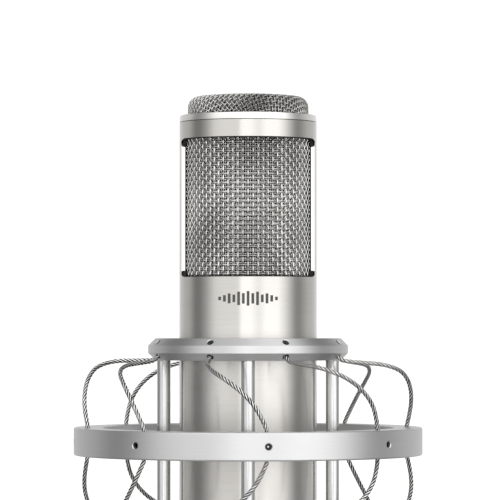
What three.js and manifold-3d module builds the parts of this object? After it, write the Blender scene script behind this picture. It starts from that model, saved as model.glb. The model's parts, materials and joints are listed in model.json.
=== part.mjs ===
// A side-address studio condenser microphone in a wire-rope shock mount with a tilting stand adapter.
// Millimetres, +Z up. The origin is the centre of the stand socket's lower end face, the microphone
// stands in front of the stand (towards -Y) and faces -Y. Angles run from the front towards +X.
import * as THREE from "three";
import { mergeVertices } from "three/addons/utils/BufferGeometryUtils.js";
import Module from "manifold-3d";

const wasm = await Module();
wasm.setup();

// ---- Driving dimensions ----
const GAP = 0.3; // between neighbouring pieces
const RING_HEIGHT = 74; // outer ring's middle plane above the stand socket's end
const ARM_REACH = 72; // microphone axis in front of the stand's axis

const MIC = {
  radius: 24,
  wall: 0.75,
  windowBottom: 57,
  windowHeight: 48.15,
  windowEdge: 0.7, // depth of the rail left beside each window
  windowCorner: 1.5,
  topBand: 5.85,
  capHeight: 2.2,
  capTaper: 0.35,
  baseFlange: 2,
};
const GRILLE = {
  inset: 2, // side grille inside the housing's outside
  thickness: 0.8,
  domeInset: 2.85,
  domeRise: 7.4, // above the cap ring
  domeCorner: 3.9,
  domeCrown: 0.7,
  screenInset: 1.4,
  screenThickness: 0.4,
  seatHeight: 2.5,
  seatLip: 0.35, // how far a seat stands into the window
  lowerLug: 2.3,
  upperLug: 2.3,
  lugHalfAngle: 13,
};
const CAPSULE = { radius: 13, thickness: 6, height: 84, film: 0.15, clampWidth: 1.6, clampHeight: 1.2 };
const SPIGOT = { radius: 13, length: 14, cavityRadius: 8.1, cavityDepth: 15 };
const PIN = { radius: 1.2, tip: 0.6, tipLength: 0.8, reach: 10.5, tail: 4, side: [3.9, 1], middle: [0, -4] };
const INSERT = { thickness: 3, ledge: 1.6 };
const DECK = { thickness: 3, isolator: 2, isolatorInner: 4, isolatorOuter: 9 };
const SADDLE = { arm: 3, footHalf: 9, footHeight: 3, width: 5, openShare: 0.15 };
const RAIL = { inset: 5, thickness: 4, width: 8, screwDepth: 7 };
const BASE_SCREW = { radius: 1, hole: 1.3, head: 2, headHole: 2.3, headDepth: 1.8, length: 6 };
const BOARD = { width: 30, thickness: 1.6, front: 4.4, foot: 8, head: 4 };
const TRANSFORMER = { radius: 9.5, height: 24, front: 7, foot: 1 };
const CAPACITOR = { radius: 4.5, height: 20, left: 5, front: 1, foot: 32 };
const CAGE = {
  offset: 32, // upper and lower cage rings above and below the outer ring's middle plane
  wall: 10.3,
  height: 7.6,
  chamfer: 2.5,
  boreClearance: 0.6,
  floor: 3,
  rodRadius: 2.35,
  rodInset: 5.5, // rod's middle inside the ring's outside
  rodSeat: 3,
  rodCount: 4,
};
const OUTER = { radius: 60.75, inner: 50.8, height: 9.6, chamfer: 0.7 };
const ROPE = {
  count: 8,
  radius: 0.8,
  firstAngle: 22.5,
  sweep: 29, // from the cage hole to the outer ring's hole
  circle: 56,
  socketDepth: 4.4,
  steps: 28,
};
const SET_SCREW = { radius: 1, hole: 1.3, socket: 0.65, socketDepth: 1.4, recess: 0.4 };
const NUT = { radius: 18, height: 7, lobes: 28, lobeDepth: 0.5 };
const ARM = {
  width: 11,
  plate: 6.7,
  saddle: 4.2,
  saddleHalfAngle: 15,
  screwAngle: 11.5, // each screw from the rear
  keyHole: 1.4,
  tiltDrop: 40, // tilt axis below the outer ring's middle plane
};
const ARM_SCREW = {
  radius: 1.45,
  hole: 1.75,
  depth: 5,
  head: 2.75,
  headHeight: 3,
  socket: 1.4,
  socketDepth: 1.8,
};
const KNUCKLE = { radius: 9.5, bolt: 3, earThickness: 6.5, washer: 1, washerRadius: 8.5 };
const SOCKET = { radius: 15, bodyHeight: 20, threadRadius: 8.2, threadDepth: 15 };
const BOLT_HEAD = { radius: 5, height: 6, socket: 2.6, socketDepth: 3 };
const KNOB = { radius: 13.5, lobeDepth: 1.8, hub: 7, hubLength: 4, gripLength: 13, lobes: 7, boltDepth: 9 };
const ADAPTER = { wall: 3, length: 13.5, recess: 0.5 };

// The rope's route from a cage ring to the outer ring, as shares of the way out, of the sweep and of
// the height above the outer ring's middle plane.
const ROPE_ROUTE = [
  [0.087, 0.017, 0.954],
  [0.262, 0.076, 0.924],
  [0.441, 0.152, 0.9],
  [0.62, 0.241, 0.873],
  [0.776, 0.345, 0.829],
  [0.906, 0.483, 0.761],
  [0.991, 0.641, 0.659],
  [1.036, 0.779, 0.537],
  [1.045, 0.876, 0.414],
  [1.027, 0.945, 0.292],
];
// How much higher each rope's shoulder springs than that route, as a share of the same height.
const ROPE_LIFTS = [0.02, 0.055, 0.03, 0.05, 0.06, 0.1, 0.04, 0];

// ---- Derived places, measured from the outer ring's middle plane unless named otherwise ----
const micInner = MIC.radius - MIC.wall;
const grilleRadius = MIC.radius - GRILLE.inset;
const domeRadius = MIC.radius - GRILLE.domeInset;
const cageBore = MIC.radius + CAGE.boreClearance;
const cageRadius = cageBore + CAGE.wall;
const rodCircle = cageRadius - CAGE.rodInset;
const cageBottom = -CAGE.offset - CAGE.height / 2;
const micBottom = cageBottom + CAGE.floor + GAP;
const tubeBottom = micBottom + MIC.baseFlange + GAP;
const windowTop = MIC.windowBottom + MIC.windowHeight;
const tubeTop = windowTop + MIC.topBand;
const capBottom = tubeTop + GAP;
const capTop = capBottom + MIC.capHeight;
const crownTop = capTop + GRILLE.domeRise;
const deckTop = MIC.windowBottom - GRILLE.seatHeight - GAP;
const flangeThickness = 0.7;
const flangeBottom = tubeTop - flangeThickness;
const seatOuter = micInner - GAP;
const seatInner = grilleRadius + GAP;
const spigotEnd = micBottom - SPIGOT.length;
const basePlugTop = tubeBottom + 6;
const tiltHeight = RING_HEIGHT - ARM.tiltDrop;
const knuckleGap = KNUCKLE.washer + 2 * GAP;
const earInner = ARM.width / 2 + knuckleGap;
const earOuter = earInner + KNUCKLE.earThickness;
const railPlace = MIC.radius - RAIL.inset;
const railBottom = basePlugTop + GAP;
const railTop = deckTop - DECK.thickness - GAP;

// ---- Solids ----
const ROUND = 36; // sides of a large round piece
const SMALL_ROUND = 16; // sides of a small or hidden one
const HOLE = 6; // sides of a screw or rope hole

const Y = new THREE.Vector3(0, 1, 0);
const at = (x, y, z) => new THREE.Vector3(x, y, z);

// A point at a radius and an angle in degrees from the front towards +X.
function polar(radius, degrees, z = 0) {
  const a = THREE.MathUtils.degToRad(degrees);
  return at(radius * Math.sin(a), -radius * Math.cos(a), z);
}

function solidOf(geometry) {
  const bare = geometry.clone();
  bare.deleteAttribute("normal");
  bare.deleteAttribute("uv");
  const merged = mergeVertices(bare, 1e-4);
  return new wasm.Manifold(
    new wasm.Mesh({
      numProp: 3,
      vertProperties: new Float32Array(merged.attributes.position.array),
      triVerts: new Uint32Array(merged.index.array),
    }),
  );
}

function geometryOf(solid) {
  const mesh = solid.getMesh();
  const geometry = new THREE.BufferGeometry();
  geometry.setAttribute("position", new THREE.BufferAttribute(mesh.vertProperties, 3));
  geometry.setIndex(new THREE.BufferAttribute(mesh.triVerts, 1));
  return geometry;
}

// The first geometry joined with `added` and cut by `removed`.
function combine(base, { added = [], kept = [], removed = [] }) {
  let solid = solidOf(base);
  added.forEach((g) => (solid = solid.add(solidOf(g))));
  kept.forEach((g) => (solid = solid.intersect(solidOf(g))));
  removed.forEach((g) => (solid = solid.subtract(solidOf(g))));
  return geometryOf(solid);
}

// Revolves [radius, z] points about Z. A profile goes up its outer side.
function turned(points, segments = ROUND) {
  const profile = points.map(([r, z]) => new THREE.Vector2(r, z));
  return new THREE.LatheGeometry(profile, segments).rotateX(Math.PI / 2);
}

function disc(radius, bottom, top, segments = ROUND) {
  return turned([[0, bottom], [radius, bottom], [radius, top], [0, top]], segments);
}

function tube(inner, outer, bottom, top, segments = ROUND) {
  return turned([[inner, bottom], [outer, bottom], [outer, top], [inner, top], [inner, bottom]], segments);
}

// A round bar between two points.
function bar(radius, from, to, sides = 12) {
  const length = from.distanceTo(to);
  const turn = new THREE.Quaternion().setFromUnitVectors(Y, to.clone().sub(from).normalize());
  const middle = from.clone().add(to).multiplyScalar(0.5);
  return new THREE.CylinderGeometry(radius, radius, length, sides)
    .applyQuaternion(turn)
    .translate(middle.x, middle.y, middle.z);
}

// A block given by its low and high corners.
function block(low, high) {
  const size = high.map((h, i) => h - low[i]);
  return new THREE.BoxGeometry(...size).translate(...high.map((h, i) => (h + low[i]) / 2));
}

// An outline drawn in the YZ plane, made solid from x = -width/2 to +width/2.
function sidePlate(shape, width, curveSegments = 10) {
  return new THREE.ExtrudeGeometry(shape, { depth: width, bevelEnabled: false, curveSegments })
    .translate(0, 0, -width / 2)
    .rotateX(Math.PI / 2)
    .rotateZ(Math.PI / 2);
}

// A sector of a ring, centred on the rear.
function rearSector(inner, outer, halfAngle, bottom, top, steps = 8) {
  const half = THREE.MathUtils.degToRad(halfAngle);
  const shape = new THREE.Shape();
  shape.absarc(0, 0, outer, Math.PI / 2 - half, Math.PI / 2 + half, false);
  shape.absarc(0, 0, inner, Math.PI / 2 + half, Math.PI / 2 - half, true);
  return new THREE.ExtrudeGeometry(shape, {
    depth: top - bottom,
    bevelEnabled: false,
    curveSegments: steps,
  }).translate(0, 0, bottom);
}

// A round grip with rounded lobes, from z = 0 up.
function lobedGrip(radius, depth, lobes, height, stepsPerLobe) {
  const shape = new THREE.Shape();
  const steps = lobes * stepsPerLobe;
  for (let i = 0; i < steps; i++) {
    const a = (i / steps) * 2 * Math.PI;
    const r = radius - depth * (0.5 - 0.5 * Math.cos(lobes * a));
    if (i === 0) shape.moveTo(r, 0);
    else shape.lineTo(r * Math.cos(a), r * Math.sin(a));
  }
  shape.closePath();
  return new THREE.ExtrudeGeometry(shape, { depth: height, bevelEnabled: false });
}

const FINISH = {
  champagne: { color: 0xc9c6bd, roughness: 0.32, metalness: 1 },
  satin: { color: 0xc4c6c8, roughness: 0.38, metalness: 1 },
  polished: { color: 0xd2d2d0, roughness: 0.15, metalness: 1 },
  wire: { color: 0x9a9892, roughness: 0.35, metalness: 1 },
  rope: { color: 0x9fa09c, roughness: 0.35, metalness: 1 },
  steel: { color: 0x55565a, roughness: 0.35, metalness: 1 },
  brass: { color: 0xb08d4f, roughness: 0.35, metalness: 1 },
  gold: { color: 0xd8b65c, roughness: 0.2, metalness: 1 },
  rubber: { color: 0x111111, roughness: 0.85, metalness: 0 },
  plastic: { color: 0x1b1b1c, roughness: 0.6, metalness: 0 },
  board: { color: 0x1d5a34, roughness: 0.6, metalness: 0 },
};

function piece(name, geometry, finish) {
  const mesh = new THREE.Mesh(geometry, new THREE.MeshStandardMaterial(FINISH[finish]));
  mesh.name = name;
  return mesh;
}

// ---- Microphone: outer shell and grille ----
function windowCutter() {
  const half = MIC.radius - MIC.windowEdge;
  const r = MIC.windowCorner;
  const low = MIC.windowBottom;
  const high = windowTop;
  const shape = new THREE.Shape();
  shape.moveTo(-half + r, low);
  shape.lineTo(half - r, low);
  shape.absarc(half - r, low + r, r, -Math.PI / 2, 0, false);
  shape.absarc(half - r, high - r, r, 0, Math.PI / 2, false);
  shape.absarc(-half + r, high - r, r, Math.PI / 2, Math.PI, false);
  shape.absarc(-half + r, low + r, r, Math.PI, 1.5 * Math.PI, false);
  const depth = 2.5 * MIC.radius;
  return new THREE.ExtrudeGeometry(shape, { depth, bevelEnabled: false, curveSegments: 4 })
    .translate(0, 0, -depth / 2)
    .rotateX(Math.PI / 2);
}

function housingTube() {
  const shell = tube(micInner, MIC.radius, tubeBottom, tubeTop);
  return combine(shell, { removed: [windowCutter()] });
}

function capRing() {
  const bore = domeRadius + GAP;
  const outer = MIC.radius;
  const slopeStart = capTop - 2 * MIC.capTaper;
  return turned([
    [bore, capBottom],
    [outer, capBottom],
    [outer, slopeStart],
    [outer - MIC.capTaper, capTop],
    [bore, capTop],
    [bore, capBottom],
  ]);
}

// Points over a flat-topped dome with a round shoulder, from its wall to its centre.
function domeCurve(radius, top, corner, crown) {
  const points = [];
  const shoulder = top - crown;
  const steps = 2;
  for (let i = 0; i <= steps; i++) {
    const a = (i / steps) * (Math.PI / 2);
    points.push([radius - corner + corner * Math.cos(a), shoulder - corner + corner * Math.sin(a)]);
  }
  points.push([0, top]);
  return points;
}

function topGrille() {
  const t = GRILLE.thickness;
  const inner = domeRadius - t;
  const outside = domeCurve(domeRadius, crownTop, GRILLE.domeCorner, GRILLE.domeCrown);
  const inside = domeCurve(inner, crownTop - t, GRILLE.domeCorner - t, GRILLE.domeCrown);
  const flangeTop = flangeBottom + flangeThickness;
  return turned([
    ...inside.reverse(),
    [inner, flangeBottom],
    [seatOuter, flangeBottom],
    [seatOuter, flangeTop],
    [domeRadius, flangeTop],
    ...outside,
  ], 28);
}

function sideGrille() {
  return tube(grilleRadius - GRILLE.thickness, grilleRadius, deckTop + GAP, flangeBottom - GAP);
}

function innerScreen() {
  const t = GRILLE.screenThickness;
  const lower = grilleRadius - GRILLE.screenInset;
  const upper = domeRadius - GRILLE.thickness - GAP;
  const top = crownTop - GRILLE.thickness - GAP;
  const corner = GRILLE.domeCorner - GRILLE.thickness - GAP;
  const neck = flangeBottom - 1;
  const outside = domeCurve(upper, top, corner, GRILLE.domeCrown);
  const inside = domeCurve(upper - t, top - t, corner - t, GRILLE.domeCrown);
  const foot = deckTop + GAP;
  return turned(
    [
      ...inside.reverse(),
      [upper - t, neck],
      [lower - t, neck - 1],
      [lower - t, foot],
      [lower, foot],
      [lower, neck - 1],
      [upper, neck],
      ...outside,
    ],
    SMALL_ROUND,
  );
}

// A rubber ring around the grille with two lugs that stand into the gap beside the windows.
function basketSeat(bottom, top, lugBottom, lugTop) {
  const span = 2 * MIC.radius;
  const half = seatOuter * Math.sin(THREE.MathUtils.degToRad(GRILLE.lugHalfAngle));
  const low = Math.min(bottom, lugBottom);
  const high = Math.max(top, lugTop);
  const cut = lugTop > top ? [top, lugTop + 1] : [lugBottom - 1, bottom];
  return combine(tube(seatInner, seatOuter, low, high, 28), {
    removed: [
      block([-span, half, cut[0]], [span, span, cut[1]]),
      block([-span, -span, cut[0]], [span, -half, cut[1]]),
    ],
  });
}

// ---- Microphone: capsule ----
function capsuleSaddle() {
  const cradle = CAPSULE.radius + GAP;
  const { arm, footHalf, footHeight, width } = SADDLE;
  const base = deckTop + DECK.isolator + 2 * GAP;
  const shape = new THREE.Shape();
  shape.moveTo(-footHalf, base);
  shape.lineTo(footHalf, base);
  shape.lineTo(footHalf, base + footHeight);
  shape.lineTo(arm, base + 2 * footHeight);
  const reach = SADDLE.openShare * Math.PI;
  shape.absarc(0, CAPSULE.height, cradle + arm, -0.5 * Math.PI + 0.3, -reach, false);
  shape.absarc(0, CAPSULE.height, cradle, -reach, -Math.PI + reach, true);
  shape.absarc(0, CAPSULE.height, cradle + arm, -Math.PI + reach, -0.5 * Math.PI - 0.3, false);
  shape.lineTo(-arm, base + 2 * footHeight);
  shape.lineTo(-footHalf, base + footHeight);
  return new THREE.ExtrudeGeometry(shape, { depth: width, bevelEnabled: false, curveSegments: 7 })
    .translate(0, 0, -width / 2)
    .rotateX(Math.PI / 2);
}

// A disc or ring of the capsule, facing along Y, whose nearest face is `from` the middle plane.
function capsuleDisc(radius, hole, from, thickness, side) {
  const low = side > 0 ? from : -from - thickness;
  const flat = hole > 0
    ? tube(hole, radius, low, low + thickness, SMALL_ROUND)
    : disc(radius, low, low + thickness, SMALL_ROUND);
  return flat.rotateX(-Math.PI / 2).translate(0, 0, CAPSULE.height);
}

function capsulePieces() {
  const half = CAPSULE.thickness / 2;
  const film = half + GAP;
  const clamp = film + CAPSULE.film + GAP;
  const filmRadius = CAPSULE.radius - 0.4;
  const clampInner = CAPSULE.radius - CAPSULE.clampWidth;
  const pieces = [
    piece("capsule_backplate", capsuleDisc(CAPSULE.radius, 0, -half, CAPSULE.thickness, 1), "brass"),
  ];
  [["front", -1], ["rear", 1]].forEach(([name, side]) => {
    const skin = capsuleDisc(filmRadius, 0, film, CAPSULE.film, side);
    const ring = capsuleDisc(CAPSULE.radius, clampInner, clamp, CAPSULE.clampHeight, side);
    pieces.push(piece(`diaphragm_${name}`, skin, "gold"), piece(`clamp_ring_${name}`, ring, "brass"));
  });
  return pieces;
}

// ---- Microphone: chassis and connector ----
function chassisRail(side) {
  const x = side * railPlace;
  const thick = RAIL.thickness / 2;
  const wide = RAIL.width / 2;
  const body = block([x - thick, -wide, railBottom], [x + thick, wide, railTop]);
  const hole = bar(BASE_SCREW.hole, at(x, 0, railBottom - 1), at(x, 0, railBottom + RAIL.screwDepth));
  return combine(body, { removed: [hole] });
}

function baseCap() {
  const ledge = spigotEnd + SPIGOT.cavityDepth;
  const profile = [
    [SPIGOT.cavityRadius, spigotEnd],
    [SPIGOT.radius - 0.6, spigotEnd],
    [SPIGOT.radius, spigotEnd + 0.6],
    [SPIGOT.radius, micBottom],
    [MIC.radius - 0.5, micBottom],
    [MIC.radius, micBottom + 0.5],
    [MIC.radius, micBottom + MIC.baseFlange],
    [seatOuter, micBottom + MIC.baseFlange],
    [seatOuter, basePlugTop],
    [SPIGOT.cavityRadius - INSERT.ledge, basePlugTop],
    [SPIGOT.cavityRadius - INSERT.ledge, ledge],
    [SPIGOT.cavityRadius, ledge],
    [SPIGOT.cavityRadius, spigotEnd],
  ];
  const removed = [];
  [-1, 1].forEach((side) => {
    const x = side * railPlace;
    const start = at(x, 0, micBottom - 1);
    removed.push(bar(BASE_SCREW.hole, start, at(x, 0, basePlugTop + 1)));
    removed.push(bar(BASE_SCREW.headHole, start, at(x, 0, micBottom + BASE_SCREW.headDepth)));
  });
  return combine(turned(profile, 28), { removed });
}

function baseScrew(side) {
  const x = side * railPlace;
  const low = micBottom + 0.2;
  const headTop = micBottom + BASE_SCREW.headDepth - GAP;
  const tip = railBottom + BASE_SCREW.length;
  return turned([
    [0, low],
    [BASE_SCREW.head, low],
    [BASE_SCREW.head, headTop],
    [BASE_SCREW.radius, headTop],
    [BASE_SCREW.radius, tip],
    [0, tip],
  ], 12).translate(x, 0, 0);
}

// The three contact pins: two side by side and one opposite, towards the front.
const pinPlaces = [[-PIN.side[0], PIN.side[1]], PIN.side, PIN.middle];
const insertTop = spigotEnd + SPIGOT.cavityDepth - GAP;
const insertBottom = insertTop - INSERT.thickness;

function xlrInsert() {
  const body = disc(SPIGOT.cavityRadius - GAP, insertBottom, insertTop, SMALL_ROUND);
  const removed = pinPlaces.map(([x, y]) =>
    bar(PIN.radius + GAP, at(x, y, insertBottom - 1), at(x, y, insertTop + 1)),
  );
  return combine(body, { removed });
}

function xlrPin([x, y]) {
  const low = insertBottom - PIN.reach;
  const high = insertTop + PIN.tail;
  return turned([
    [0, low],
    [PIN.tip, low],
    [PIN.radius, low + PIN.tipLength],
    [PIN.radius, high],
    [0, high],
  ], 12).translate(x, y, 0);
}

function micInternals() {
  const boardBack = BOARD.front + BOARD.thickness;
  const board = block(
    [-BOARD.width / 2, BOARD.front, railBottom + BOARD.foot],
    [BOARD.width / 2, boardBack, railTop - BOARD.head],
  );
  const canFoot = railBottom + TRANSFORMER.foot;
  const can = disc(TRANSFORMER.radius, canFoot, canFoot + TRANSFORMER.height, SMALL_ROUND);
  const capFoot = railBottom + CAPACITOR.foot;
  const capacitor = disc(CAPACITOR.radius, capFoot, capFoot + CAPACITOR.height, SMALL_ROUND);
  const seat = deckTop + GAP;
  const isolator = tube(DECK.isolatorInner, DECK.isolatorOuter, seat, seat + DECK.isolator, SMALL_ROUND);
  const deck = disc(seatOuter, deckTop - DECK.thickness, deckTop, 28);
  return [
    piece("circuit_board", board, "board"),
    piece("output_transformer", can.translate(0, -TRANSFORMER.front, 0), "steel"),
    piece("coupling_capacitor", capacitor.translate(-CAPACITOR.left, -CAPACITOR.front, 0), "brass"),
    piece("head_deck", deck, "satin"),
    piece("capsule_isolator", isolator, "rubber"),
    piece("capsule_saddle", capsuleSaddle(), "plastic"),
    piece("chassis_rail_left", chassisRail(-1), "steel"),
    piece("chassis_rail_right", chassisRail(1), "steel"),
  ];
}

function microphone() {
  const group = new THREE.Group();
  const low = deckTop + GAP;
  const lowTop = MIC.windowBottom + GRILLE.seatLip;
  const high = flangeBottom - GAP;
  const highBottom = windowTop - GRILLE.seatLip;
  const lowerSeat = basketSeat(low, lowTop, low, MIC.windowBottom + GRILLE.lowerLug);
  const upperSeat = basketSeat(highBottom, high, windowTop - GRILLE.upperLug, high);
  group.add(
    piece("housing_tube", housingTube(), "champagne"),
    piece("cap_ring", capRing(), "champagne"),
    piece("top_grille", topGrille(), "wire"),
    piece("side_grille", sideGrille(), "wire"),
    piece("inner_screen", innerScreen(), "wire"),
    piece("basket_seat_lower", lowerSeat, "rubber"),
    piece("basket_seat_upper", upperSeat, "rubber"),
    piece("base_cap", baseCap(), "champagne"),
    piece("base_screw_left", baseScrew(-1), "steel"),
    piece("base_screw_right", baseScrew(1), "steel"),
    piece("xlr_insert", xlrInsert(), "plastic"),
    ...pinPlaces.map((place, i) => piece(`xlr_pin_${i + 1}`, xlrPin(place), "gold")),
    ...micInternals(),
    ...capsulePieces(),
  );
  return group;
}

// ---- Cage that holds the microphone ----
const ropeAngles = Array.from({ length: ROPE.count }, (_, i) => ROPE.firstAngle + (i * 360) / ROPE.count);
const rodAngles = Array.from({ length: CAGE.rodCount }, (_, i) => (i * 360) / CAGE.rodCount);
const armScrewAngles = [180 - ARM.screwAngle, 180 + ARM.screwAngle];
const chamferMiddle = [cageRadius - CAGE.chamfer / 2, CAGE.height / 2 - CAGE.chamfer / 2];

// Where a rope's end sits inside the upper cage ring: square to the lower chamfer, `depth` deep.
function ropeSocket(depth) {
  const step = depth * Math.SQRT1_2;
  return [chamferMiddle[0] - step, CAGE.offset - chamferMiddle[1] + step];
}

// Holes for one cage ring at z = 0 whose outer side with the ropes faces down.
function cageRingHoles() {
  const removed = [];
  const [r, z] = chamferMiddle;
  const out = 2;
  const ropeIn = (ROPE.socketDepth + GAP) * Math.SQRT1_2;
  ropeAngles.forEach((angle) => {
    const mouth = polar(r + out, angle, -z - out);
    const end = polar(r - ropeIn, angle, -z + ropeIn);
    removed.push(bar(ROPE.radius + GAP, mouth, end, HOLE));
  });
  rodAngles.forEach((angle) => {
    const low = -CAGE.height / 2;
    const mouth = polar(rodCircle, angle, low - 1);
    const end = polar(rodCircle, angle, low + CAGE.rodSeat);
    removed.push(bar(CAGE.rodRadius + GAP, mouth, end, 8));
  });
  return removed;
}

// One cage ring at z = 0, with or without the floor that the microphone stands on.
function cageRing(floor) {
  const h = CAGE.height / 2;
  const c = CAGE.chamfer;
  const bore = cageBore;
  const outside = [
    [cageRadius - c, -h],
    [cageRadius, -h + c],
    [cageRadius, h - c],
    [cageRadius - c, h],
  ];
  const hole = SPIGOT.radius + CAGE.boreClearance;
  const plain = [[bore, h], [bore, -h]];
  const stepped = [[hole, h], [hole, h - floor], [bore, h - floor], [bore, -h]];
  const inside = floor ? stepped : plain;
  const profile = [...outside, ...inside, outside[0]];
  return combine(turned(profile), { removed: cageRingHoles() });
}

function cageRod(angle) {
  const end = CAGE.offset - CAGE.height / 2 + CAGE.rodSeat - GAP;
  return bar(CAGE.rodRadius, polar(rodCircle, angle, -end), polar(rodCircle, angle, end), 16);
}

function ringNut() {
  const top = cageBottom - GAP;
  const low = top - NUT.height;
  const grip = lobedGrip(NUT.radius, NUT.lobeDepth, NUT.lobes, NUT.height, 2).translate(0, 0, low);
  return combine(grip, { removed: [disc(SPIGOT.radius + GAP, low - 1, top + 1, 32)] });
}

function cage() {
  const group = new THREE.Group();
  const upper = piece("upper_ring", cageRing(0), "satin");
  upper.position.z = CAGE.offset;
  const lower = piece("lower_ring", cageRing(CAGE.floor), "satin");
  lower.position.z = -CAGE.offset;
  lower.rotation.y = Math.PI;
  group.add(upper, lower, piece("ring_nut", ringNut(), "satin"));
  rodAngles.forEach((angle, i) => group.add(piece(`cage_rod_${i + 1}`, cageRod(angle), "polished")));
  return group;
}

// ---- Suspension: outer ring, wire ropes, rear arm ----
// The rope's route above the outer ring: [radius, sweep in degrees, height].
function ropeRoute(lift) {
  const end = ropeSocket(ROPE.socketDepth);
  const mouth = ropeSocket(0);
  const between = ROPE_ROUTE.map(([out, turn, height]) => [
    mouth[0] + out * (ROPE.circle - mouth[0]),
    turn * ROPE.sweep,
    (height + lift * Math.sin(Math.PI * turn)) * mouth[1],
  ]);
  return [
    [end[0], 0, end[1]],
    [mouth[0], 0, mouth[1]],
    ...between,
    [ROPE.circle, ROPE.sweep, OUTER.height / 2],
    [ROPE.circle, ROPE.sweep, 0],
  ];
}

function wireRope(angle, lift) {
  const upper = ropeRoute(lift).map(([r, sweep, z]) => polar(r, angle + sweep, z));
  const lower = upper.slice(0, -1).map((p) => at(p.x, p.y, -p.z)).reverse();
  const path = new THREE.CatmullRomCurve3([...upper, ...lower]);
  const section = new THREE.Shape();
  section.absarc(0, 0, ROPE.radius, 0, 2 * Math.PI, false);
  return new THREE.ExtrudeGeometry(section, { steps: ROPE.steps, extrudePath: path, curveSegments: 4 });
}

function outerRing() {
  const h = OUTER.height / 2;
  const c = OUTER.chamfer;
  const profile = [
    [OUTER.inner, -h],
    [OUTER.radius - c, -h],
    [OUTER.radius, -h + c],
    [OUTER.radius, h - c],
    [OUTER.radius - c, h],
    [OUTER.inner, h],
    [OUTER.inner, -h],
  ];
  const removed = [];
  ropeAngles.forEach((angle) => {
    const place = angle + ROPE.sweep;
    const low = polar(ROPE.circle, place, -h - 1);
    const high = polar(ROPE.circle, place, h + 1);
    removed.push(bar(ROPE.radius + GAP, low, high, HOLE));
    removed.push(bar(SET_SCREW.hole, polar(ROPE.circle, place), polar(OUTER.radius + 1, place), HOLE));
  });
  armScrewAngles.forEach((place) => {
    const end = polar(OUTER.radius - ARM_SCREW.depth - 0.5, place);
    removed.push(bar(ARM_SCREW.hole, end, polar(OUTER.radius + 1, place)));
  });
  return combine(turned(profile, 48), { removed });
}

// A hex-socket set screw that clamps a rope in the outer ring.
function ropeSetScrew(angle) {
  const place = angle + ROPE.sweep;
  const inner = ROPE.circle + ROPE.radius + GAP;
  const outer = OUTER.radius - SET_SCREW.recess;
  const body = bar(SET_SCREW.radius, polar(inner, place), polar(outer, place), 8);
  const floor = polar(outer - SET_SCREW.socketDepth, place);
  const socket = bar(SET_SCREW.socket, floor, polar(outer + 1, place), 6);
  return combine(body, { removed: [socket] });
}

const saddleInner = OUTER.radius + GAP;

function rearArm() {
  const h = OUTER.height / 2;
  const saddleOuter = saddleInner + ARM.saddle;
  const front = saddleInner + 1;
  const back = front + ARM.plate;
  const drop = -ARM.tiltDrop;
  const R = KNUCKLE.radius;
  const shape = new THREE.Shape();
  shape.moveTo(front, h - 1);
  shape.lineTo(front, drop / 2);
  shape.lineTo(ARM_REACH - R, drop);
  shape.absarc(ARM_REACH, drop, R, Math.PI, 2 * Math.PI, false);
  shape.quadraticCurveTo(ARM_REACH + R - 2, drop + 18, back, drop / 3);
  shape.lineTo(back, h - 3);
  shape.lineTo(back - 2, h - 1);
  const saddle = rearSector(saddleInner, saddleOuter, ARM.saddleHalfAngle, -h, h, 6);
  const width = ARM.width;
  const removed = [bar(KNUCKLE.bolt + GAP, at(-width, ARM_REACH, drop), at(width, ARM_REACH, drop), 20)];
  armScrewAngles.forEach((place) => {
    removed.push(bar(ARM_SCREW.hole, polar(OUTER.radius - 1, place), polar(saddleOuter + 2, place)));
  });
  // A hole for the key of any rope's set screw behind the saddle.
  ropeAngles.forEach((angle) => {
    const place = angle + ROPE.sweep;
    if (Math.abs(place - 180) < ARM.saddleHalfAngle)
      removed.push(bar(ARM.keyHole, polar(OUTER.radius - 1, place), polar(saddleOuter + 4, place)));
  });
  return combine(sidePlate(shape, ARM.width, 8), { added: [saddle], removed });
}

function armScrew(place) {
  const seat = saddleInner + ARM.saddle + GAP;
  const top = seat + ARM_SCREW.headHeight;
  const tip = OUTER.radius - ARM_SCREW.depth;
  const shank = bar(ARM_SCREW.radius, polar(tip, place), polar(seat + 0.1, place), 8);
  const head = bar(ARM_SCREW.head, polar(seat, place), polar(top, place), 12);
  const socket = bar(ARM_SCREW.socket, polar(top - ARM_SCREW.socketDepth, place), polar(top + 1, place), 6);
  return combine(shank, { added: [head], removed: [socket] });
}

function suspension() {
  const group = new THREE.Group();
  group.add(piece("outer_ring", outerRing(), "satin"), piece("rear_arm", rearArm(), "satin"));
  ropeAngles.forEach((angle, i) => {
    group.add(piece(`wire_rope_${i + 1}`, wireRope(angle, ROPE_LIFTS[i]), "rope"));
    group.add(piece(`rope_set_screw_${i + 1}`, ropeSetScrew(angle), "steel"));
  });
  const [right, left] = armScrewAngles.map(armScrew);
  group.add(piece("arm_screw_left", left, "steel"), piece("arm_screw_right", right, "steel"));
  return group;
}

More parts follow.
